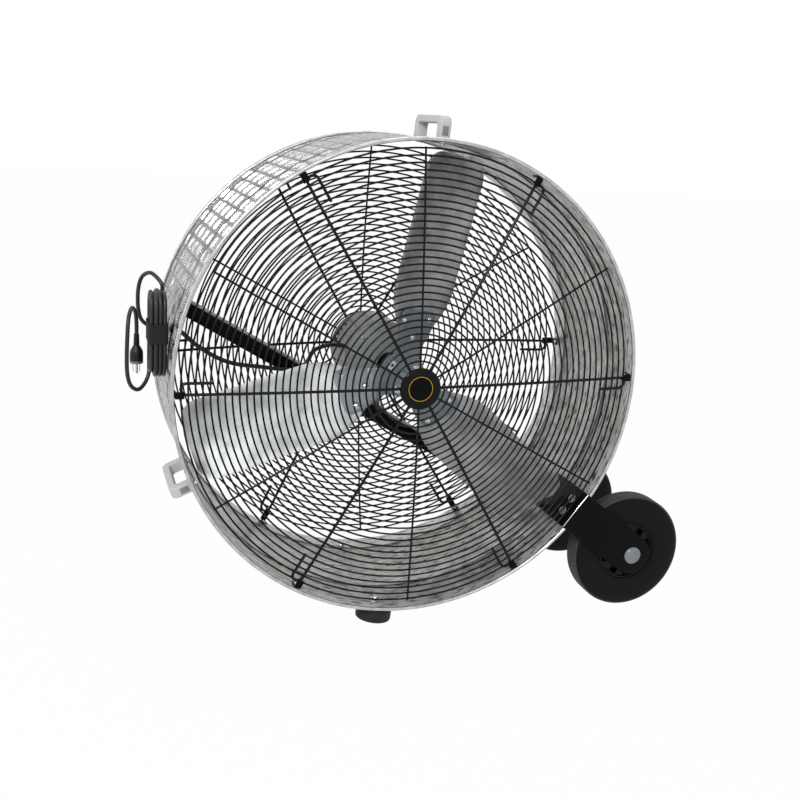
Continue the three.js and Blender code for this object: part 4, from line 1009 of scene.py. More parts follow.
@dataclass
class WireGuard:
    """A dished guard of welded wires: rings, ribs, and hairpins at the heavy ribs' ends."""

    side: Side
    ring_r: float
    ring_y: float
    rise: float
    wire: float = 1.9
    pitch: float = 13.6
    rings: int = 31
    ring_steps: int = 96
    heavy: float = 3.0
    thin: float = 2.1
    cad_wire: float = 2.2
    weld: float = 1.0
    phase: float = 1.5
    ribs: int = 12
    plate_r: float = 36.0
    plate: float = 2.5
    hairpin_width: float = 22.0
    hairpin_return: float = 48.0
    wall: float = 473.22
    strip: float = 1.6
    strip_length: float = 26.0
    strip_width: float = 14.0

    def surface(self, r: float) -> float:
        """y of the rings' wires at a radius."""
        return self.ring_y + self.side.value * self.rise * (1 - (r / self.ring_r) ** 2)

    def lift(self, radius: float) -> float:
        """Offset in y of the middle of a rib from the middle of the rings."""
        return self.side.value * (self.cad_wire + radius - self.weld)

    def ring_wires(self, bm: BMesh) -> None:
        """Spins each ring."""
        for i in range(self.rings):
            r = self.ring_r - i * self.pitch
            made = bmesh.ops.create_circle(
                bm, segments=8, radius=self.wire, matrix=Matrix.Translation((r, self.surface(r), 0))
            )
            bmesh.ops.spin(
                bm, geom=made["verts"] + edges_at(made["verts"]), cent=(0, 0, 0), axis=(0, 1, 0),
                angle=2 * math.pi, steps=self.ring_steps, use_merge=True
            )

    def rib_path(self, angle: float, radius: float, hairpin: bool) -> list[Vector]:
        """Centreline of one rib.

        Args:
            angle: its direction, degrees.
            radius: radius of its wire.
            hairpin: whether its end turns back inward.

        Returns:
            Points from the middle plate outward.
        """
        bend = self.hairpin_width / 2
        end = self.ring_r - bend if hairpin else self.ring_r + self.cad_wire
        flat = [(self.plate_r - 4 + (end - self.plate_r + 4) * i / 16, 0.0) for i in range(17)]
        if hairpin:
            flat += [
                (end + bend * math.sin(math.pi * i / 8), -bend + bend * math.cos(math.pi * i / 8))
                for i in range(1, 9)
            ]
            flat += [(end - self.hairpin_return * i / 4, -2 * bend) for i in range(1, 5)]
        turn = Matrix.Rotation(-math.radians(angle), 4, "Y")
        lift = self.lift(radius)
        return [turn @ Vector((x, self.surface(math.hypot(x, z)) + lift, z)) for x, z in flat]

    def rib_wires(self, bm: BMesh) -> None:
        """Draws the heavy and the thin ribs."""
        for i in range(self.ribs):
            heavy = i % 2 == 0
            radius = self.heavy if heavy else self.thin
            angle = self.phase + i * 360 / self.ribs
            sweep(bm, self.rib_path(angle, radius, heavy), radius, 10)

    def middle_plate(self, bm: BMesh) -> None:
        """Adds the round plate that the ribs are welded to."""
        face = self.surface(0) + self.side.value * (self.cad_wire + 2 * self.heavy - self.weld)
        back = face - self.side.value * self.plate
        r = self.plate_r
        revolve(bm, [(0, back), (r, back), (r, face), (r - 1, face + self.side.value * 0.2), (0, face)], 64)

    def build(self, maker: Maker) -> None:
        """Makes the guard's pieces."""
        word = self.side.word
        at = maker.drum.at()
        maker.piece(f"{word}_guard_rings", self.ring_wires, BLACK_WIRE, at, replaces=[f"{word}_guard"],
                    sharp=80)
        maker.piece(f"{word}_guard_ribs", self.rib_wires, BLACK_WIRE, at, slot="black_wire", sharp=80)
        maker.piece(f"{word}_guard_plate", self.middle_plate, BLACK_PLATE, at, slot="black_wire")
        for i in range(self.ribs // 2):
            self.clip(maker, i)

    def clip(self, maker: Maker, index: int) -> None:
        """Makes one clip with its screw.

        Args:
            maker: makes the pieces.
            index: number of the heavy rib, from 0.
        """
        word = self.side.word
        way = -self.side.value
        wall, strip = self.wall, self.strip
        reach = self.ring_r - 6
        inner = self.surface(reach) - way * (self.cad_wire + 2 * self.heavy - self.weld + GAP)
        outer = inner - way * strip
        end = inner + way * self.strip_length
        angle = self.phase + index * 720 / self.ribs

        def hook(bm: BMesh) -> None:
            """Bent strip: a leg on the wall and a hook over the rib."""
            corners = [(wall, outer), (wall, end), (wall - strip, end), (wall - strip, inner),
                       (reach, inner), (reach, outer)]
            prism(bm, corners, -self.strip_width / 2, self.strip_width)
            soften(bm, bm.edges[:], 0.35)

        def screw(bm: BMesh) -> None:
            """Pan head."""
            seat = wall - 1.7
            turned_x(bm, [(0, seat - 3.6), (2.6, seat - 3.5), (4.4, seat - 2.4), (5, seat - 0.8), (5, seat),
                          (0, seat)], 20)

        strip_at, screw_at = maker.drum.at(angle), maker.drum.at(angle, end - way * 7.8)
        maker.piece(f"{word}_clip_strip_{index + 1}", hook, BLACK_PLATE, strip_at,
                    replaces=[f"{word}_clip_{index + 1}"])
        maker.piece(f"{word}_clip_screw_{index + 1}", screw, ZINC, screw_at, slot="zinc")


@dataclass
class Badge:
    """Round gloss badge with a bare sunken middle and a plain foil ring."""

    radius: float = 42.0
    depth: float = 5.0
    seat: float = -15.5
    ring_r: float = 24.5

    def dish(self, bm: BMesh) -> None:
        """Spins the raised rim and the dished band inside it."""
        r, d = self.radius, self.depth
        profile = [(0, 0), (r, 0), (r, -0.45 * d), (0.985 * r, -0.75 * d), (0.95 * r, -0.95 * d),
                   (0.91 * r, -d),
                   (0.88 * r, -0.97 * d), (0.72 * r, -0.72 * d), (0.66 * r, -0.62 * d), (0, -0.62 * d)]
        revolve(bm, [(x, self.seat + y) for x, y in profile], 96)

    def middle(self, bm: BMesh) -> None:
        """Spins the flat disc in the middle."""
        top = self.seat - 0.62 * self.depth
        r = 0.64 * self.radius
        revolve(bm, [(0, top), (r, top), (r, top - 0.4), (r - 0.4, top - 0.7), (0, top - 0.7)], 64)

    def ring(self, bm: BMesh) -> None:
        """Spins the foil ring."""
        top = self.seat - 0.62 * self.depth - 0.7
        a, b = self.ring_r - 0.6, self.ring_r + 0.6
        revolve(bm, [(a, top + 0.2), (b, top + 0.2), (b, top - 0.15), (a, top - 0.15)], 64, closed=True)

    def build(self, maker: Maker) -> None:
        """Makes the badge's pieces."""
        at = maker.drum.at()
        maker.piece("badge_dish", self.dish, BLACK_ABS, at, replaces=["guard_badge"])
        maker.piece("badge_middle", self.middle, SATIN_ABS, at, slot="black_gloss")
        maker.piece("badge_ring", self.ring, GOLD_FOIL, at, slot="black_gloss")


# ---------------------------------------------------------------- rotor


@dataclass
class Rotor:
    """Blades, spider, hub, slinger and shaft."""

    angle: float = 78.0
    count: int = 3
    y: float = 110.0
    pitch: float = 25.0
    sheet: float = 2.5
    root: float = 66.0
    root_half: float = 22.0
    full: float = 190.0
    half: float = 82.75
    corner: float = 40.0
    camber: float = 10.0
    tip: float = 456.0
    spider_end: float = 138.0
    spider_half: float = 47.0
    spider_sheet: float = 4.0
    disc_r: float = 48.0
    disc_front: float = 104.45
    disc_rear: float = 108.45
    rivets: tuple[tuple[float, float], ...] = ((80, 0), (112, 33), (121, -35))
    hub_r: float = 22.0
    hub_rear: float = 190.0
    flange_r: float = 40.0
    bolt_circle: float = 31.0
    shaft_r: float = ROD_R

    def half_at(self, r: float) -> float:
        """Half width of a blade at a radius."""
        past = max(0.0, r - (self.tip - self.corner))
        if past > 0:
            return self.half - self.corner + math.sqrt(max(0.0, self.corner**2 - past**2))
        t = min(1.0, (r - self.root) / (self.full - self.root))
        return self.root_half + (self.half - self.root_half) * math.sin(t * math.pi / 2)

    def camber_at(self, r: float) -> float:
        """Depth of a blade's hollow at a radius: flat on the spider."""
        t = min(1.0, max(0.0, (r - self.spider_end) / (self.full + 40 - self.spider_end)))
        return self.camber * t * t * (3 - 2 * t)

    def blade(self, bm: BMesh) -> None:
        """Shapes a grid into a blade and gives it the sheet's thickness."""
        bmesh.ops.create_grid(bm, x_segments=56, y_segments=14, size=1.0)
        for vert in bm.verts:
            along = math.sin((vert.co.x + 1) / 2 * math.pi / 2)
            r = self.root + (self.tip - self.root) * along
            across = vert.co.y
            vert.co = (r, self.camber_at(r) * (1 - across**2) - self.sheet / 2, self.half_at(r) * across)
        self.thicken(bm, self.sheet)

    @staticmethod
    def thicken(bm: BMesh, sheet: float) -> None:
        """Makes an open surface a closed sheet that reaches toward +y.

        Args:
            bm: mesh of the surface.
            sheet: thickness.
        """
        made = bmesh.ops.extrude_face_region(bm, geom=bm.faces[:], use_keep_orig=True)
        bmesh.ops.translate(bm, vec=(0, sheet, 0), verts=verts_of(made))
        bmesh.ops.recalc_face_normals(bm, faces=bm.faces[:])
        rims = [edge for edge in bm.edges if edge.calc_face_angle(0.0) > math.radians(60)]
        soften(bm, rims, 0.5)

    def arm(self, bm: BMesh) -> None:
        """Shapes a grid into one arm of the spider, twisted from the disc to the blades' pitch."""
        stops = [(self.hub_r, 26.0, 0.0), (self.disc_r, 28.0, 0.35), (self.root - 2, 33.0, 1.0),
                 ((self.root + self.spider_end) / 2, self.spider_half, 1.0),
                 (self.spider_end - 8, self.spider_half, 1.0),
                 (self.spider_end, self.spider_half - 10, 1.0)]
        bmesh.ops.create_grid(bm, x_segments=40, y_segments=8, size=1.0)
        for vert in bm.verts:
            r = self.hub_r + (self.spider_end - self.hub_r) * (vert.co.x + 1) / 2
            for (r0, half0, t0), (r1, half1, t1) in zip(stops, stops[1:]):
                if r0 - 1e-6 <= r <= r1 + 1e-6:
                    s = (r - r0) / (r1 - r0)
                    half, twist = half0 + (half1 - half0) * s, t0 + (t1 - t0) * s
                    break
            front = -(self.sheet / 2 + GAP + self.spider_sheet)
            vert.co = (r, front, half * vert.co.y)
            bmesh.ops.rotate(bm, cent=(0, 0, 0),
                             matrix=Matrix.Rotation(math.radians(self.pitch * twist), 3, "X"), verts=[vert])
        self.thicken(bm, self.spider_sheet)

    def disc(self, bm: BMesh) -> None:
        """Spins the spider's flat disc, with chamfered outer edges."""
        front, rear, r = self.disc_front, self.disc_rear, self.disc_r
        revolve(bm, [(self.shaft_r + GAP, front), (r - 0.8, front), (r, front + 0.8), (r, rear - 0.8),
                     (r - 0.8, rear),
                     (self.shaft_r + GAP, rear)], 72, closed=True)

    def rivet_heads(self, bm: BMesh) -> None:
        """Adds the rivets of one arm, with a head on each face."""
        front = -(self.sheet / 2 + GAP + self.spider_sheet)
        rear = self.sheet / 2 + GAP
        for along, across in self.rivets:
            for seat, way in ((front + 1, -1), (rear, 1)):
                matrix = Matrix.Translation((along, seat, across)) @ Matrix.Diagonal((1, 0.5, 1, 1))
                made = bmesh.ops.create_uvsphere(bm, u_segments=20, v_segments=12, radius=7.5, matrix=matrix)
                low = [v for v in made["verts"] if (v.co.y - seat) * way < -0.05]
                for vert in low:
                    vert.co.y = seat

    def hub(self, bm: BMesh) -> None:
        """Spins the flanged barrel."""
        front = self.disc_rear + GAP
        bore = self.shaft_r + GAP
        revolve(bm, [(bore, front), (self.flange_r, front), (self.flange_r, front + 6),
                     (self.flange_r - 1, front + 7),
                     (self.hub_r + 4, front + 7), (self.hub_r + 1, front + 8), (self.hub_r, front + 11),
                     (self.hub_r, self.hub_rear - 1.5), (self.hub_r - 1.5, self.hub_rear),
                     (bore, self.hub_rear)],
                72, closed=True)

    def hub_bolt(self, bm: BMesh) -> None:
        """Adds a hub bolt's hexagonal head on a washer, about the x axis."""
        turned_x(bm, [(0, 0), (9.5, 0), (9.5, 1.4), (9, 1.7), (0, 1.7)], 24)
        nut(bm, 13, 1.6, 6.0)

    def set_screw(self, bm: BMesh) -> None:
        """Adds a square-headed set screw, about the x axis."""
        turned_x(bm, [(0, -1), (4, -1), (4, 2), (0, 2)], 20)
        block(bm, (1.8, -3.6, -3.6), (8, 3.6, 3.6), 0.5)

    def slinger(self, bm: BMesh) -> None:
        """Spins the dished disc between the hub and the motor."""
        front = self.hub_rear + 5
        bore = self.shaft_r + GAP
        revolve(bm, [(bore, front), (12, front), (14, front + 0.4), (26, front + 2.2), (27, front + 3),
                     (27, front + 4.6),
                     (26, front + 5), (14, front + 7.5), (12, front + 9), (bore, front + 9)], 64, closed=True)

    def shaft(self, bm: BMesh) -> None:
        """Spins the shaft, with a chamfered front end."""
        r = self.shaft_r
        revolve(bm, [(0, 92), (r - 1.5, 92), (r, 93.5), (r, 254.4), (0, 254.4)], 40)

    def build(self, maker: Maker) -> None:
        """Makes the rotor's pieces."""
        drum = maker.drum
        tilt = Matrix.Rotation(math.radians(self.pitch), 4, "X")
        for i in range(self.count):
            angle = self.angle + 360 * i / self.count
            at = drum.at(angle, self.y)
            finish = replace(BLADE_SHEET, name=f"{BLADE_SHEET.name}_{i + 1}", turn=angle)
            maker.piece(f"blade_sheet_{i + 1}", self.blade, finish, at @ tilt, ROTOR, [f"blade_{i + 1}"])
            swept = ["spider"] if i == 0 else []
            maker.piece(f"spider_arm_{i + 1}", self.arm, SPIDER_ENAMEL, at, ROTOR, swept, "spider_grey")
            maker.piece(f"rivets_{i + 1}", self.rivet_heads, ZINC, at @ tilt, ROTOR, slot="zinc")
            turned = Matrix.Translation((self.bolt_circle, self.disc_front - 0.3,
                                         0)) @ Matrix.Rotation(-math.pi / 2, 4, "Z")
            bolt_at = drum.at(angle + 180 / self.count) @ turned
            maker.piece(f"hub_bolt_{i + 1}", self.hub_bolt, ZINC, bolt_at, ROTOR, slot="zinc")
        maker.piece("spider_disc", self.disc, SPIDER_ENAMEL, drum.at(), ROTOR, slot="spider_grey")
        maker.piece("hub_barrel", self.hub, MACHINED, drum.at(), ROTOR, ["rotor_hub"])
        for i, (angle, y) in enumerate(((120, 140), (210, 168))):
            maker.piece(f"set_screw_{i + 1}", self.set_screw, ZINC, drum.at(angle, y, self.hub_r), ROTOR,
                        slot="zinc")
        maker.piece("slinger_disc", self.slinger, BLACK_PLATE, drum.at(), ROTOR, ["slinger"])
        maker.piece("shaft", self.shaft, MACHINED, drum.at(), ROTOR, ["rotor_shaft"])


# ---------------------------------------------------------------- motor


@dataclass
class Motor:
    """Round motor on a welded base, carried by a channel across the drum."""

    radius: float = 82.5
    front: float = 255.0
    length: float = 130.0
    nose: float = 20.0
    nose_r: float = 58.0
    tail: float = 20.0
    tail_r: float = 60.0
    base_height: float = 17.2
    base_half: float = 75.0
    neck_half: float = 50.0
    base_length: float = 50.0
    angle: float = 240.6
    vents: int = 4

    def shell(self, bm: BMesh) -> None:
        """Spins the rolled shell, with a shallow groove at each bell."""
        a, b, r = self.front, self.front + self.length, self.radius
        revolve(bm, [(0, a), (r - 1.2, a), (r - 1.2, a + 3), (r, a + 4), (r, b - 4), (r - 1.2, b - 3),
                     (r - 1.2, b), (0, b)], 96)

    def base(self, bm: BMesh) -> None:
        """Adds the welded base: a neck and a wide foot plate."""
        seat = self.radius + self.base_height
        y0, y1 = self.front + 4, self.front + self.base_length
        block(bm, (0.6 * self.radius, y0, -self.neck_half), (seat - 4.5, y1, self.neck_half), 1.0)
        block(bm, (seat - 5, y0 - 3.7, -self.base_half), (seat, y1, self.base_half), 1.0)

    def front_bell(self, bm: BMesh) -> None:
        """Spins the front bell."""
        f, n, r = self.front, self.nose, self.radius
        revolve(bm, [(BORE_R, f - n), (24, f - n), (26, f - n + 1), (self.nose_r - 3, f - 0.88 * n),
                     (self.nose_r, f - 0.8 * n),
                     (r - 6, f - 0.38 * n), (r - 1.5, f - 0.26 * n), (r, f - 0.15 * n), (r, f - GAP),
                     (BORE_R, f - GAP)],
                96, closed=True)

    def rear_bell(self, bm: BMesh) -> None:
        """Spins the rear bell."""
        f, t, r = self.front + self.length, self.tail, self.radius
        revolve(bm, [(0, f + GAP), (r, f + GAP), (r, f + 0.26 * t), (r - 2, f + 0.36 * t),
                     (self.tail_r + 2, f + 0.93 * t),
                     (self.tail_r - 1, f + t), (0, f + t)], 96)

    def slots(self, bm: BMesh) -> None:
        """Adds the vent slots near the shell's rear end as thin dark boxes, painted shade of their openings.
        """
        for group in (60, 150, 210, 330):
            for i in range(self.vents):
                turn = Matrix.Rotation(-math.radians(group + 9 * (i - 1.5) - self.angle), 4, "Y")
                size = Matrix.Translation((self.radius - 0.6, self.front + self.length - 24,
                                           0)) @ Matrix.Diagonal((1.6, 26, 5, 1))
                bmesh.ops.create_cube(bm, size=1.0, matrix=turn @ size)

    def through_bolt(self, bm: BMesh) -> None:
        """Adds a through bolt's head on the front bell, about the x axis."""
        nut(bm, 8, -1, 4)

    def base_nut(self, bm: BMesh) -> None:
        """Adds a nut on the base's foot plate, about the x axis."""
        nut(bm, 12, 0, 6)

    def build(self, maker: Maker) -> None:
        """Makes the motor's pieces."""
        at = maker.drum.at(self.angle)
        maker.piece("motor_can", self.shell, MOTOR_PAINT, at, replaces=["motor_shell"])
        maker.piece("motor_base", self.base, MOTOR_PAINT, at, slot="motor_grey")
        maker.piece("motor_nose", self.front_bell, BELL_PAINT, at, replaces=["motor_front_bell"])
        maker.piece("motor_tail", self.rear_bell, BELL_PAINT, at, replaces=["motor_rear_bell"])
        maker.piece("motor_slots", self.slots, SLOT_DARK, at, slot="motor_grey")
        forward = Matrix.Rotation(-math.pi / 2, 4, "Z")
        for i in range(4):
            spot = maker.drum.at(45 + 90 * i) @ Matrix.Translation((self.radius - 13,
                                                                    self.front - 0.5 * self.nose, 0))
            maker.piece(f"motor_through_bolt_{i + 1}", self.through_bolt, ZINC, spot @ forward, slot="zinc")
        maker.softened("motor_channel", BLACK_PLATE, 0.9)
        for i, y in enumerate((40, 100)):
            for j, across in enumerate((-60, 60)):
                turn = Matrix.Translation((self.radius + self.base_height - 5.2, self.front + 0.35 * y,
                                           across))
                place = at @ turn @ Matrix.Rotation(math.pi, 4, "Z")
                maker.piece(f"motor_base_nut_{2 * i + j + 1}", self.base_nut, ZINC, place, slot="zinc")


# ---------------------------------------------------------------- fasteners


@dataclass
class WallFasteners:
    """Bolts and screws through the drum's wall."""

    inner: float = SEAT_IN
    outer: float = SEAT_OUT
    handle_reach: float = 70.0
    leg: float = LEG_AT
    tab: float = 472.77

    def carriage(self, shank: float, nut_seat: float) -> Callable[[BMesh], None]:
        """Returns a builder of a carriage bolt: dome outside, nut and bolt end inside.

        Args:
            shank: radius of the shank.
            nut_seat: x of the face that the nut bears on.
        """

        def build(bm: BMesh) -> None:
            """Adds the dome, the washer, the nut and the bolt's end."""
            s, out = shank, self.outer
            turned_x(bm, [(0, out - 3), (s, out - 3), (s, out), (2 * s, out), (1.9 * s, out + 1),
                          (1.5 * s, out + 2.4),
                          (0.8 * s, out + 3.3), (0, out + 3.5)], 28)
            turned_x(bm, [(0, nut_seat - 9), (0.8 * s, nut_seat - 9), (s, nut_seat - 8.2),
                          (s, nut_seat - 0.3), (0, nut_seat - 0.3)], 20)
            nut(bm, 3.3 * s, nut_seat - 6.8, nut_seat - 1.3)
            turned_x(bm, [(0, nut_seat - 1.4), (2.3 * s, nut_seat - 1.4), (2.3 * s, nut_seat - 0.3),
                          (0, nut_seat - 0.3)], 28)

        return build

    def handle_screw(self, bm: BMesh) -> None:
        """Adds a hexagonal washer head inside the wall."""
        seat = self.inner
        turned_x(bm, [(0, seat - 1.2), (6, seat - 1.2), (6, seat), (0, seat)], 28)
        nut(bm, 10, seat - 5, seat - 1.1)

    def foot_bolt(self, bm: BMesh) -> None:
        """Adds the nut inside the wall and the head in the foot's recess."""
        seat = self.inner
        turned_x(bm, [(0, seat - 9), (3.4, seat - 9), (4, seat - 8.3), (4, seat), (0, seat)], 20)
        turned_x(bm, [(0, seat - 1.4), (10, seat - 1.4), (10, seat), (0, seat)], 28)
        nut(bm, 13, seat - 6.8, seat - 1.3)
        head = FOOT_FACE - FOOT_RECESS + GAP
        nut(bm, 13, head, head + 5)

    def build(self, maker: Maker) -> None:
        """Makes the fasteners."""
        drum = maker.drum
        for place, angle in HANDLES:
            for i, way in enumerate((-1, 1)):
                at = drum.at(angle, HANDLE_Y + way * self.handle_reach)
                name = f"handle_screw_{place}_{i + 1}"
                maker.piece(f"{name}_head", self.handle_screw, ZINC, at, replaces=[name])
        for word, y in (("front", 31.0), ("rear", 359.0)):
            for i, across in enumerate((-16, 16)):
                at = drum.at(WHEEL_ANGLE) @ Matrix.Translation((0, y, across))
                name = f"bracket_bolt_{word}_{i + 1}"
                maker.piece(f"{name}_set", self.carriage(4, self.leg - 4), ZINC, at, replaces=[name])
        for i, angle in enumerate((320.56, 160.64)):
            at = drum.at(angle, 275)
            maker.piece(f"channel_bolt_set_{i + 1}", self.carriage(5, self.tab - 4), ZINC, at,
                        replaces=[f"channel_bolt_{i + 1}"])
        for word, y in FOOT_Y.items():
            name = f"foot_bolt_{word}"
            maker.piece(f"{name}_set", self.foot_bolt, ZINC, drum.at(FOOT_ANGLE, y), replaces=[name])


# ---------------------------------------------------------------- handles and feet


@dataclass
class Handle:
    """Moulded D handle: two legs and a grip, with a pocket in the front leg."""

    place: str
    angle: float
    y: float = HANDLE_Y
    seat: float = SEAT_OUT
    length: float = 162.0
    width: float = 22.0
    height: float = 46.0
    leg: float = 22.0
    grip: float = 15.0
    outer_fillet: float = 16.0
    inner_fillet: float = 8.0

    def body(self, bm: BMesh) -> None:
        """Extrudes the D, rounds its corners and then its rims."""
        half, top = self.length / 2, self.seat + self.height
        under, inner = top - self.grip, half - self.leg
        corners = [(self.seat, -half), (top, -half), (top, half), (self.seat, half), (self.seat, inner),
                   (under, inner),
                   (under, -inner), (self.seat, -inner)]
        prism(bm, corners, -self.width / 2, self.width)
        self.round_corners(bm, top, half, self.outer_fillet)
        self.round_corners(bm, under, inner, self.inner_fillet)
        rims = [e for e in bm.edges if abs(e.verts[0].co.z - e.verts[1].co.z) < 1e-4
                and e.calc_face_angle(0) > 1.0
                and min(v.co.x for v in e.verts) > self.seat - 1]
        soften(bm, rims, 3.0, 4)

    @staticmethod
    def round_corners(bm: BMesh, x: float, y: float, radius: float) -> None:
        """Rounds the two corners at a height and at both sides.

        Args:
            bm: mesh of the handle.
            x: height of the corners.
            y: distance of the corners from the middle.
            radius: offset of the round.
        """
        edges = [
            e for e in bm.edges
            if abs(e.verts[0].co.z - e.verts[1].co.z) > 1
            and all(abs(v.co.x - x) < 0.01 and abs(abs(v.co.y) - y) < 0.01 for v in e.verts)
        ]
        soften(bm, edges, radius, 10)

    def pocket(self, bm: BMesh) -> None:
        """Adds a thin darker block on the front leg, painted shade of the pocket's floor."""
        block(bm, (self.seat + 9, -self.length / 2 - 0.2, -6), (self.seat + 27, -self.length / 2 + 0.6, 6),
              0.15)

    def build(self, maker: Maker) -> None:
        """Makes the handle's pieces."""
        at = maker.drum.at(self.angle, self.y)
        maker.piece(f"handle_{self.place}_body", self.body, GREY_NYLON, at,
                    replaces=[f"handle_{self.place}"], sharp=50)
        maker.piece(f"handle_{self.place}_pocket", self.pocket, POCKET_SHADE, at, slot="grey_plastic")


@dataclass
class Foot:
    """Round rubber bumper with a recess for its bolt."""

    side: Side
    radius: float = 37.5
    seat: float = SEAT_OUT
    face: float = FOOT_FACE
    recess_r: float = 14.0
    recess: float = FOOT_RECESS

    def body(self, bm: BMesh) -> None:
        """Spins the bumper with rounded rims."""
        r, f, s = self.radius, self.face, self.seat
        turned_x(bm, [(4.3, s), (r - 0.6, s), (r, s + 0.6), (r, f - 2.5), (r - 0.7, f - 0.7), (r - 2.5, f),
                      (self.recess_r + 1, f),
                      (self.recess_r, f - 1), (self.recess_r, f - self.recess),
                      (4.3, f - self.recess), (4.3, s)], 72)

    def build(self, maker: Maker) -> None:
        """Makes the foot."""
        word = self.side.word
        at = maker.drum.at(FOOT_ANGLE, FOOT_Y[word])
        maker.piece(f"foot_{word}_bumper", self.body, FOOT_RUBBER, at, replaces=[f"foot_{word}"])


# ---------------------------------------------------------------- wheels


@dataclass
class WheelSet:
    """Bracket, wheel, tyre and cap at one end of the axle."""

    side: Side
    leg_end: float
    angle: float = WHEEL_ANGLE
    depth: float = DEPTH
    axle_radius: float = AXLE_AT
    leg: float = LEG_AT
    sheet: float = 4.0
    width: float = 88.0
    rim_gap: float = 0.5
    middle: float = 41.0
    wheel_r: float = 127.0
    tyre_width: float = 45.0
    rim_r: float = 65.0
    rim_width: float = 38.0
    web: float = 6.0
    hub_r: float = 19.0
    hub_inner: float = 24.0
    axle_r: float = ROD_R
    windows: int = 8
    window_phase: float = 13.0
    window_circle: float = 46.5
    window_size: tuple[float, float] = (23.0, 25.0)
    web_y: float = -12.0
    tread_r: float = 124.0
    grooves: int = 5
    cap_r: float = 19.0
    cap_depth: float = 9.0

    def at(self, drum: DrumFrame, y: float = 0.0, on_axle: bool = True) -> Matrix:
        """Placement on the axle, or in the bracket's frame; the rear end mirrors the front one.

        Args:
            drum: the drum's frame.
            y: distance from the rim.
            on_axle: whether the local origin lies on the axle.

        Returns:
            Matrix from local millimetres to the part's metres.
        """
        mirror = Matrix.Identity(4)
        if self.side is Side.REAR:
            mirror = Matrix.Translation((0, self.depth, 0)) @ Matrix.Diagonal((1, -1, 1, 1))
        return drum.at(self.angle) @ mirror @ Matrix.Translation((self.axle_radius if on_axle else 0, y, 0))

    def bracket(self, bm: BMesh) -> None:
        """Extrudes the bent strip's section, then rounds its end and its bend."""
        inner, outer = -self.rim_gap, -self.rim_gap - self.sheet
        end = self.axle_radius + self.width / 2
        half = self.width / 2
        corners = [(self.leg - self.sheet, self.leg_end), (self.leg - self.sheet, outer), (end, outer),
                   (end, inner),
                   (self.leg, inner), (self.leg, self.leg_end)]
        prism(bm, corners, -half, self.width)
        tips = [e for e in bm.edges if all(abs(v.co.x - end) < 0.01 for v in e.verts)
                and abs(e.verts[0].co.y - e.verts[1].co.y) > 1]
        soften(bm, tips, half - 0.05, 24)
        for x, y, radius in ((self.leg - self.sheet, outer, 6.0), (self.leg, inner, 2.0)):
            bend = [e for e in bm.edges
                    if all(abs(v.co.x - x) < 0.01 and abs(v.co.y - y) < 0.01 for v in e.verts)]
            soften(bm, bend, radius, 6)
        rims = [e for e in bm.edges if e.calc_face_angle(0) > math.radians(60)]
        soften(bm, rims, 0.5, 2)

    def rim(self, bm: BMesh) -> None:
        """Spins the barrel and the hub, and joins them by a solid web with a windowed one before it."""
        lip, half, web = self.rim_r - 6, self.rim_width / 2, self.web / 2
        outer_end = -(self.middle + self.rim_gap - 0.3)
        bore = self.axle_r + GAP
        revolve(bm, [(lip, -web - 0.3), (lip + 1.5, -half + 1), (lip + 2.5, -half), (self.rim_r - 1, -half),
                     (self.rim_r, -half + 1),
                     (self.rim_r, half - 1), (self.rim_r - 1, half), (lip + 2.5, half),
                     (lip + 1.5, half - 1), (lip, web + 0.3)],
                72, closed=True)
        revolve(bm, [(bore, outer_end), (self.hub_r - 4, outer_end), (self.hub_r - 3, outer_end + 1),
                     (self.hub_r, -web),
                     (self.hub_r, web), (self.hub_r - 2, self.hub_inner - 1),
                     (self.hub_r - 3, self.hub_inner), (bore, self.hub_inner)],
                48, closed=True)
        self.window_web(bm, self.hub_r - 1, lip + 1)
        revolve(bm, [(self.hub_r - 1, -web), (lip + 1, -web), (lip + 1, web), (self.hub_r - 1, web)], 72,
                closed=True)

    def window_web(self, bm: BMesh, low: float, high: float) -> None:
        """Fills the web between the hub and the barrel, with a ring of square windows.

        Args:
            bm: mesh of the wheel.
            low: inner radius of the web.
            high: its outer radius.
        """
        flat = Matrix.Rotation(math.pi / 2, 4, "X")
        lift = Matrix.Translation((0, self.web_y - self.web / 2, 0))
        rings = [(lift @ flat, low, 48), (lift @ flat, high, 72)]
        deep, wide = (size / math.sqrt(2) for size in self.window_size)
        square = Matrix.Diagonal((deep, wide, 1, 1)) @ Matrix.Rotation(math.pi / 4, 4, "Z")
        for i in range(self.windows):
            turn = Matrix.Rotation(-math.radians(self.window_phase - self.angle + 360 * i / self.windows),
                                   4, "Y")
            rings.append((turn @ lift @ Matrix.Translation((self.window_circle, 0, 0)) @ flat @ square, 1.0,
                          4))
        edges = set()
        for matrix, radius, count in rings:
            made = bmesh.ops.create_circle(bm, segments=count, radius=radius, matrix=matrix)
            edges.update(edges_at(made["verts"]))
        filled = bmesh.ops.triangle_fill(bm, use_beauty=True, use_dissolve=False, edges=list(edges))
        faces = [part for part in filled["geom"] if isinstance(part, bmesh.types.BMFace)]
        made = bmesh.ops.extrude_face_region(bm, geom=faces, use_keep_orig=True)
        bmesh.ops.translate(bm, vec=(0, self.web, 0), verts=verts_of(made))

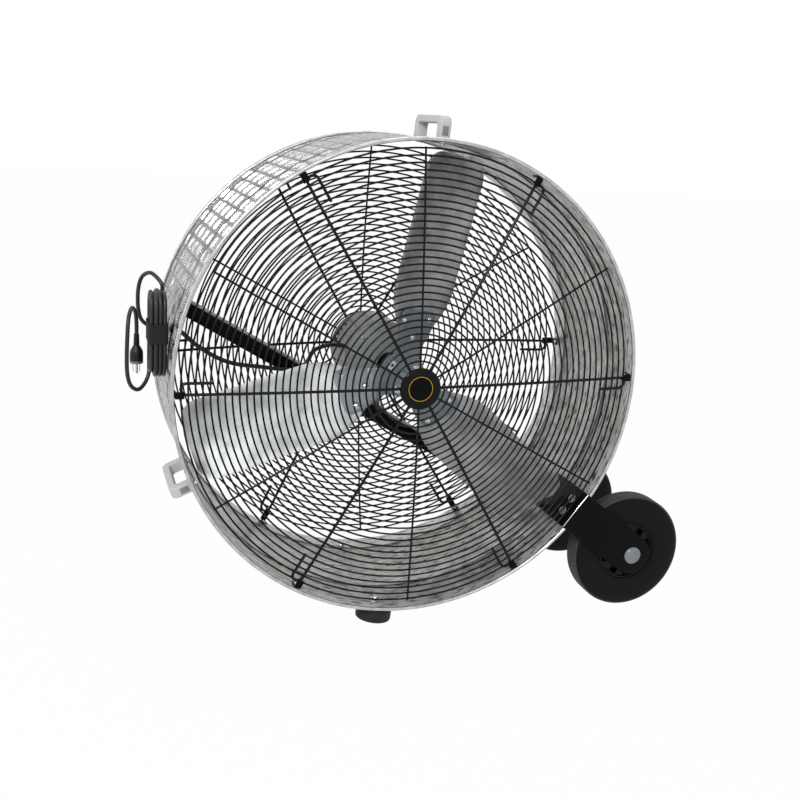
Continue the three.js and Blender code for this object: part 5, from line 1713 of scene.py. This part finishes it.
    def tyre(self, bm: BMesh) -> None:
        """Spins the tyre, with grooves round its tread."""
        half, r = self.tyre_width / 2, self.wheel_r
        flat = half - 5
        tread = []
        for i in range(self.grooves):
            y = flat * (-0.8 + 1.6 * i / (self.grooves - 1))
            tread += [(r, y - 1.3), (r - 3, y - 0.7), (r - 3, y + 0.7), (r, y + 1.3)]
        side = [(self.rim_r + 0.3, -half + 3), (self.rim_r + 3, -half + 0.8), (self.rim_r + 8, -half),
                (self.rim_r + 30, -half),
                (self.rim_r + 31, -half), (112, -half), (118, -half + 0.9), (123, -half + 2.4),
                (r - 0.8, -flat - 1.6), (r, -flat)]
        other = [(x, -y) for x, y in reversed(side)]
        revolve(bm, [*side, *tread, *other], 120, closed=True)

    def paint_bend_highlight(self, strip: bpy.types.Object, place: Matrix) -> None:
        """Paints a highlight along the middle of the bracket's outer bend, with the bright zinc finish.

        Args:
            strip: the finished bracket.
            place: its placement.
        """
        # Painted highlight: the faces along the middle of the bend take the bright zinc finish.
        strip.data.materials.append(material_of(ZINC))
        ridge = (place.to_3x3() @ Vector((-0.61, -0.79, 0))).normalized()
        for face in strip.data.polygons:
            if face.normal.dot(ridge) > 0.999:
                face.material_index = 1

    def dust(self, tyre: bpy.types.Object, place: Matrix) -> None:
        """Gives the tread its dusty finish.

        Args:
            tyre: the finished tyre.
            place: its placement.
        """
        tyre.data.materials.append(material_of(TYRE_TREAD))
        home = place.inverted()
        for face in tyre.data.polygons:
            spot = home @ face.center
            if math.hypot(spot.x, spot.z) > self.tread_r - 1.5:
                face.material_index = 1

    def cap(self, bm: BMesh) -> None:
        """Spins the push cap, with a raised boss in its middle."""
        r, d = self.cap_r, self.cap_depth
        revolve(bm, [(BORE_R, 0), (r, 0), (r, -3.6), (r - 1, -5), (0.66 * r, -d + 0.8),
                     (0.58 * r, -d + 0.1), (0.5 * r, -d), (0, -d)], 64)

    def build(self, maker: Maker) -> None:
        """Makes the pieces of this end."""
        word = self.side.word
        drum = maker.drum
        strip_at = self.at(drum, on_axle=False)
        strip = maker.piece(f"bracket_{word}_strip", self.bracket, BLACK_PLATE, strip_at,
                            replaces=[f"wheel_bracket_{word}"])
        self.paint_bend_highlight(strip, strip_at)
        wheel = self.at(drum, self.middle)
        maker.piece(f"wheel_{word}_moulding", self.rim, WHEEL_BLACK, wheel, WHEEL_BODY[word],
                    [f"wheel_rim_{word}"])
        tyre = maker.piece(f"wheel_{word}_tyre", self.tyre, TYRE_RUBBER, wheel, WHEEL_BODY[word],
                           [f"tyre_{word}"])
        self.dust(tyre, wheel)
        cap = self.at(drum, -self.rim_gap - self.sheet - 0.3)
        maker.piece(f"cap_{word}_moulding", self.cap, CAP_GREY, cap, replaces=[f"axle_cap_{word}"])


@dataclass
class Axle:
    """The wheels' axle and the spacer tube on it."""

    angle: float = WHEEL_ANGLE
    radius: float = AXLE_AT
    depth: float = DEPTH
    axle_r: float = ROD_R
    tube_r: float = 13.0

    def rod(self, bm: BMesh) -> None:
        """Spins the axle."""
        end = -9.2
        revolve(bm, [(0, end), (self.axle_r - 1, end), (self.axle_r, end + 1),
                     (self.axle_r, self.depth - end - 1),
                     (self.axle_r - 1, self.depth - end), (0, self.depth - end)], 40)

    def tube(self, bm: BMesh) -> None:
        """Spins the spacer tube."""
        end = 65.3
        bore = self.axle_r + GAP
        revolve(bm, [(bore, end), (self.tube_r - 0.5, end), (self.tube_r, end + 0.5),
                     (self.tube_r, self.depth - end - 0.5),
                     (self.tube_r - 0.5, self.depth - end), (bore, self.depth - end)], 48, closed=True)

    def build(self, maker: Maker) -> None:
        """Makes the axle and its tube."""
        at = maker.drum.at(self.angle, 0, self.radius)
        maker.piece("axle_rod", self.rod, ZINC, at, replaces=["wheel_axle"])
        maker.piece("axle_spacer", self.tube, ZINC, at, replaces=["axle_tube"])


# ---------------------------------------------------------------- cord


@dataclass
class CordSet:
    """Power cord: gland, hank with its strap, plug, and the lead inside the drum."""

    cord_r: float = 4.0
    lead_r: float = 4.5
    gland_angle: float = 170.5
    gland_y: float = 192.0
    gland_out: float = 16.0
    outer: float = SEAT_OUT
    inner: float = SEAT_IN
    hank_x: float = -497.0
    hank_y: float = 111.0
    low_fold: float = 36.0
    run: float = 100.0
    layers: tuple[float, ...] = (-485.0, -493.0, -501.0, -509.0)
    folds: tuple[float, ...] = (32.0, 24.0, 24.0, 32.0, 32.0, 24.0, 24.0, 32.0)
    plug_top: Point = (-532.0, 157.0, 74.0)

    def gland_point(self, r: float) -> Point:
        """A point on the gland's axis at a radius."""
        turn = math.radians(self.gland_angle)
        return r * math.cos(turn), self.gland_y, r * math.sin(turn)

    def hank(self) -> list[Vector]:
        """Centreline of the wound part: four layers of two rounds each, from its top to its bottom."""
        line = []
        top = self.low_fold + self.run
        for i, fold in enumerate(self.folds):
            x = self.layers[i // 2]
            y = self.hank_y
            line += [Vector((x, y + fold, top - self.run * s / 4)) for s in range(5)]
            if i + 1 == len(self.folds):
                break
            for s in range(1, 12):
                turn = math.pi * s / 12
                line.append(Vector((x, y + fold * math.cos(turn), self.low_fold - fold * math.sin(turn))))
            line += [Vector((x, y - fold, self.low_fold + self.run * s / 4)) for s in range(5)]
            next_x, next_fold = self.layers[(i + 1) // 2], self.folds[i + 1]
            for s in range(1, 12):
                turn, t = math.pi * s / 12, s / 12
                blend = t * t * (3 - 2 * t)
                r = fold + (next_fold - fold) * blend
                line.append(Vector((x + (next_x - x) * blend, y - r * math.cos(turn),
                                    top + r * math.sin(turn))))
        return line

    def centreline(self) -> list[Vector]:
        """The whole cord from the gland to the plug, in drum millimetres."""
        clear = math.sqrt(36**2 - 28**2) + 0.3
        top = self.low_fold + self.run + clear
        entry = (self.layers[0], self.hank_y + self.folds[0])
        feed = [self.gland_point(self.outer + self.gland_out + 0.3), (-507, 192, 85), (-520, 192, 96),
                (-526, 192, 116),
                (-526, 191, 160), (-519, 182, 184), (-505.5, 167, 193), (-492, 151, 184),
                (*entry, top + 14), (*entry, top)]
        exit_ = (self.layers[-1], self.hank_y + self.folds[-1])
        low = self.low_fold - clear
        plug_x, plug_y, plug_z = self.plug_top
        tail = [(*exit_, low), (*exit_, low - 12), (-517, 134, -18), (-531, 119, -28), (-545, 104, -18),
                (-553, 95, 6),
                (-553, 95, 90), (-550, 104, 118), (-543, 126, 131), (-535, 148, 119),
                (plug_x, plug_y, 94), (plug_x, plug_y, plug_z + 0.3)]
        return [*smooth_path(feed, 6), *self.hank(), *smooth_path(tail, 6)]

    def cord(self, maker: Maker) -> None:
        """Args:
            maker: makes the pieces.
        """
        place = maker.drum.at()
        points = [place @ p for p in self.centreline()]
        curve = bpy.data.curves.new("power_cord", "CURVE")
        curve.dimensions = "3D"
        curve.bevel_depth = self.cord_r * MM
        curve.bevel_resolution = 4
        curve.use_fill_caps = True
        line = curve.splines.new("POLY")
        line.points.add(len(points) - 1)
        for slot, point in zip(line.points, points):
            slot.co = (*point, 1.0)
        line.use_smooth = True
        obj = add_object("power_cord", curve)
        curve.materials.append(material_of(CORD_JACKET))
        maker.adopt(obj, ROOT, ["cord_feed", "cord_hank", "cord_tail"])

    def gland(self, bm: BMesh) -> None:
        """Turns the gland: dome and nut outside, nut inside."""
        out, inn = self.outer, self.inner
        end = out + self.gland_out
        turned_x(bm, [(4.3, inn - 7), (11, inn - 7), (12, inn - 6), (12, inn), (9, inn), (9, out),
                      (12, out), (12, out + 8),
                      (11, out + 9.5), (9.6, end - 3), (8.4, end - 0.8), (7.4, end), (4.3, end),
                      (4.3, inn - 7)], 36)

    def lead(self, bm: BMesh) -> None:
        """Sweeps the lead from the gland, under the channel and up to the motor's side."""
        route = [self.gland_point(self.inner - 7.3), self.gland_point(self.inner - 19), (-411, 200, 43),
                 (-370, 208, 16), (-331, 216, 0), (-275, 224, -9),
                 (-232, 228, -15), (-196, 229, -17), (-173, 230, 0), (-160, 233, 22), (-128, 252, 30),
                 (-102, 274, 27),
                 (-79.6, 284, 22.7)]
        sweep(bm, smooth_path(route, 5), self.lead_r, 14)

    @staticmethod
    def stand(bm: BMesh, verts: list[bmesh.types.BMVert]) -> None:
        """Turns what was spun about the y axis to the z axis."""
        bmesh.ops.rotate(bm, cent=(0, 0, 0), matrix=Matrix.Rotation(math.pi / 2, 3, "X"), verts=verts)

    def boot(self, bm: BMesh) -> None:
        """Turns the plug's body and its ribbed boot, about the z axis."""
        profile = [(0.0, 0.0), (5.4, 0.0)]
        for i in range(6):
            z = -2.5 - 3.4 * i
            profile += [(5.6 + 0.12 * i, z), (4.9 + 0.12 * i, z - 0.8), (4.9 + 0.12 * i, z - 1.8),
                        (5.6 + 0.12 * i, z - 2.4)]
        profile += [(7.2, -24.0), (9.2, -27.5), (11.4, -31), (12.6, -35), (13, -40), (13, -53), (0, -53)]
        revolve(bm, profile, 48)
        self.stand(bm, bm.verts[:])

    def face(self, bm: BMesh) -> None:
        """Turns the plug's grey face."""
        revolve(bm, [(0, -53), (13, -53), (13, -57), (12.2, -58), (0, -58)], 48)
        self.stand(bm, bm.verts[:])

    def blades(self, bm: BMesh) -> None:
        """Adds the plug's two blades and its round pin."""
        for x in (-6.35, 6.35):
            block(bm, (x - 0.8, -1.2, -75), (x + 0.8, 5.2, -57), 0.35)
        revolve(bm, [(0, -57), (2.4, -57), (2.4, -75.5), (1.6, -77), (0, -77)], 24)
        pin = [v for v in bm.verts if v.co.y < -50]
        self.stand(bm, pin)
        bmesh.ops.translate(bm, vec=(0, -8, 0), verts=pin)

    def strap(self, bm: BMesh) -> None:
        """Wraps the tape round the hank."""
        x, y, low, high = 16.3, 36.3, 70.0, 108.0
        spot = Matrix.Translation((self.hank_x, self.hank_y, (low + high) / 2))
        bmesh.ops.create_cube(bm, size=1.0,
                              matrix=spot @ Matrix.Diagonal((2 * x + 4, 2 * y + 4, high - low, 1)))
        ends = [f for f in bm.faces if abs(f.normal.z) > 0.9]
        bmesh.ops.delete(bm, geom=ends, context="FACES")
        corners = [e for e in bm.edges if abs(e.verts[0].co.z - e.verts[1].co.z) > 1]
        soften(bm, corners, 7, 8)
        bmesh.ops.solidify(bm, geom=bm.faces[:], thickness=1.8)
        bmesh.ops.recalc_face_normals(bm, faces=bm.faces[:])

    def build(self, maker: Maker) -> None:
        """Makes the cord's pieces."""
        drum = maker.drum
        plug_at = drum.at() @ Matrix.Translation(self.plug_top)
        gland = maker.piece("gland_body", self.gland, PLUG_VINYL, drum.at(self.gland_angle, self.gland_y),
                            replaces=["cord_gland"])
        body = maker.piece("plug_body", self.boot, PLUG_VINYL, plug_at, replaces=["cord_plug"])
        face = maker.piece("plug_face", self.face, PLUG_FACE, plug_at, slot="black_plastic")
        blades = maker.piece("plug_blades", self.blades, NICKEL, plug_at, slot="zinc")
        strap = maker.piece("strap_tape", self.strap, TAPE, drum.at(), replaces=["cord_strap"])
        self.cord(maker)
        maker.piece("motor_lead_jacket", self.lead, CORD_JACKET, drum.at(), replaces=["motor_lead"], sharp=60)


# ---------------------------------------------------------------- studio


@dataclass
class Studio:
    """Camera, white floor, white surroundings and soft lamps."""

    lens: float = 49.35
    spot: Point = (-0.77061, -2.20869, 1.02646)
    turn: Point = (75.629, -3.525, -17.168)
    floor_size: float = 30.0
    world_light: float = 0.28
    floor_glow: float = 0.98
    aim: Point = (0.0, 0.0, 0.5)

    def camera(self) -> None:
        """Places the camera where the photograph was taken from."""
        data = bpy.data.cameras.new("camera")
        data.lens = self.lens
        data.sensor_width = 36.0
        data.clip_start = 0.05
        obj = add_object("camera", data)
        obj.rotation_euler = [math.radians(angle) for angle in self.turn]
        obj.location = self.spot
        bpy.context.scene.camera = obj

    @staticmethod
    def seen(tree: bpy.types.NodeTree, *kinds: str) -> Socket:
        """Returns 1 for rays of the given kinds and 0 for the others."""
        ray = add_node(tree, "ShaderNodeLightPath")
        return maximum(tree, *(ray.outputs[f"Is {kind} Ray"] for kind in kinds))

    def surroundings(self) -> None:
        """Makes a world that looks white and lights the fan plainly."""
        world = bpy.data.worlds.new("studio")
        tree = clean_tree(world)
        light, white = (
            add_node(tree, "ShaderNodeBackground",
                     {"Color": linear("#ffffff"), "Strength": strength}).outputs[0]
            for strength in (self.world_light, 1.0)
        )
        seen = self.seen(tree, "Camera", "Glossy", "Transmission")
        both = add_node(tree, "ShaderNodeMixShader", links={0: seen, 1: light, 2: white})
        add_node(tree, "ShaderNodeOutputWorld", links={"Surface": both.outputs[0]})
        bpy.context.scene.world = world

    def floor(self) -> None:
        """Lays a white floor that keeps a soft shadow."""
        bm = bmesh.new()
        bmesh.ops.create_grid(bm, x_segments=1, y_segments=1, size=self.floor_size / 2)
        obj = add_mesh("floor", bm)
        material = bpy.data.materials.new("white_floor")
        tree = clean_tree(material)
        seen = self.seen(tree, "Camera", "Glossy")
        share = add_node(tree, "ShaderNodeMath", {1: self.floor_glow}, {0: seen}, operation="MULTIPLY")
        matt = add_node(tree, "ShaderNodeBsdfDiffuse", {"Color": linear("#f2f2f2")})
        glow = add_node(tree, "ShaderNodeEmission", {"Color": linear("#ffffff"), "Strength": 1.0})
        both = add_node(tree, "ShaderNodeMixShader",
                        links={0: share.outputs[0], 1: matt.outputs[0], 2: glow.outputs[0]})
        add_node(tree, "ShaderNodeOutputMaterial", links={"Surface": both.outputs[0]})
        obj.data.materials.append(material)

    def lamp(self, name: str, spot: Point, aim: Point, size: float, power: float) -> None:
        """Hangs one soft box.

        Args:
            name: name of the lamp.
            spot: its place.
            aim: the point that it faces.
            size: side of the square box.
            power: its power in watts.
        """
        data = bpy.data.lights.new(name, "AREA")
        data.shape = "SQUARE"
        data.size = size
        data.energy = power
        obj = add_object(name, data)
        way = Vector(aim) - Vector(spot)
        obj.matrix_world = Matrix.Translation(spot) @ way.to_track_quat("-Z", "Y").to_matrix().to_4x4()

    def build(self) -> None:
        """Sets up the studio."""
        self.camera()
        self.surroundings()
        self.floor()
        self.lamp("key", (-2.1, -2.5, 2.7), self.aim, 0.6, 70.0)
        self.lamp("top", (0.4, 0.6, 3.4), self.aim, 2.0, 20.0)
        self.lamp("side", (-3.0, 1.2, 1.2), self.aim, 1.4, 12.0)
        self.lamp("front", (-0.6, -2.9, 2.3), (-0.2, 0.0, 0.5), 1.4, 12.0)
        bpy.context.scene.view_settings.view_transform = "Standard"


# ---------------------------------------------------------------- main


def main() -> None:
    """Builds the fan and the studio."""
    logging.basicConfig(level=logging.INFO, format="%(name)s: %(message)s")
    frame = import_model()
    NODES.update(frame["nodes"])
    SLOTS.update({part["node"]: part["material_slot"] for part in frame["record"]["subparts"]})
    spin = next(joint for joint in frame["joints"] if joint["name"] == "rotor_spin")
    rotor = Rotor()
    origin = Vector(spin["pos_m"]) - Vector((0, rotor.y * MM, 0))
    maker = Maker(DrumFrame(origin))
    Studio().build()
    CordSet().build(maker)
    DrumShell().build(maker)
    WireGuard(Side.FRONT, ring_r=461.72, ring_y=14, rise=22).build(maker)
    WireGuard(Side.REAR, ring_r=452, ring_y=384, rise=54, rings=30).build(maker)
    Badge().build(maker)
    rotor.build(maker)
    Motor().build(maker)
    WallFasteners().build(maker)
    for place, angle in HANDLES:
        Handle(place, angle).build(maker)
    for side in Side:
        Foot(side).build(maker)
    WheelSet(Side.FRONT, leg_end=140.0).build(maker)
    WheelSet(Side.REAR, leg_end=72.0).build(maker)
    Axle().build(maker)
    LOG.info("%d pieces", len(maker.made))


if __name__ == "__main__":
    main()
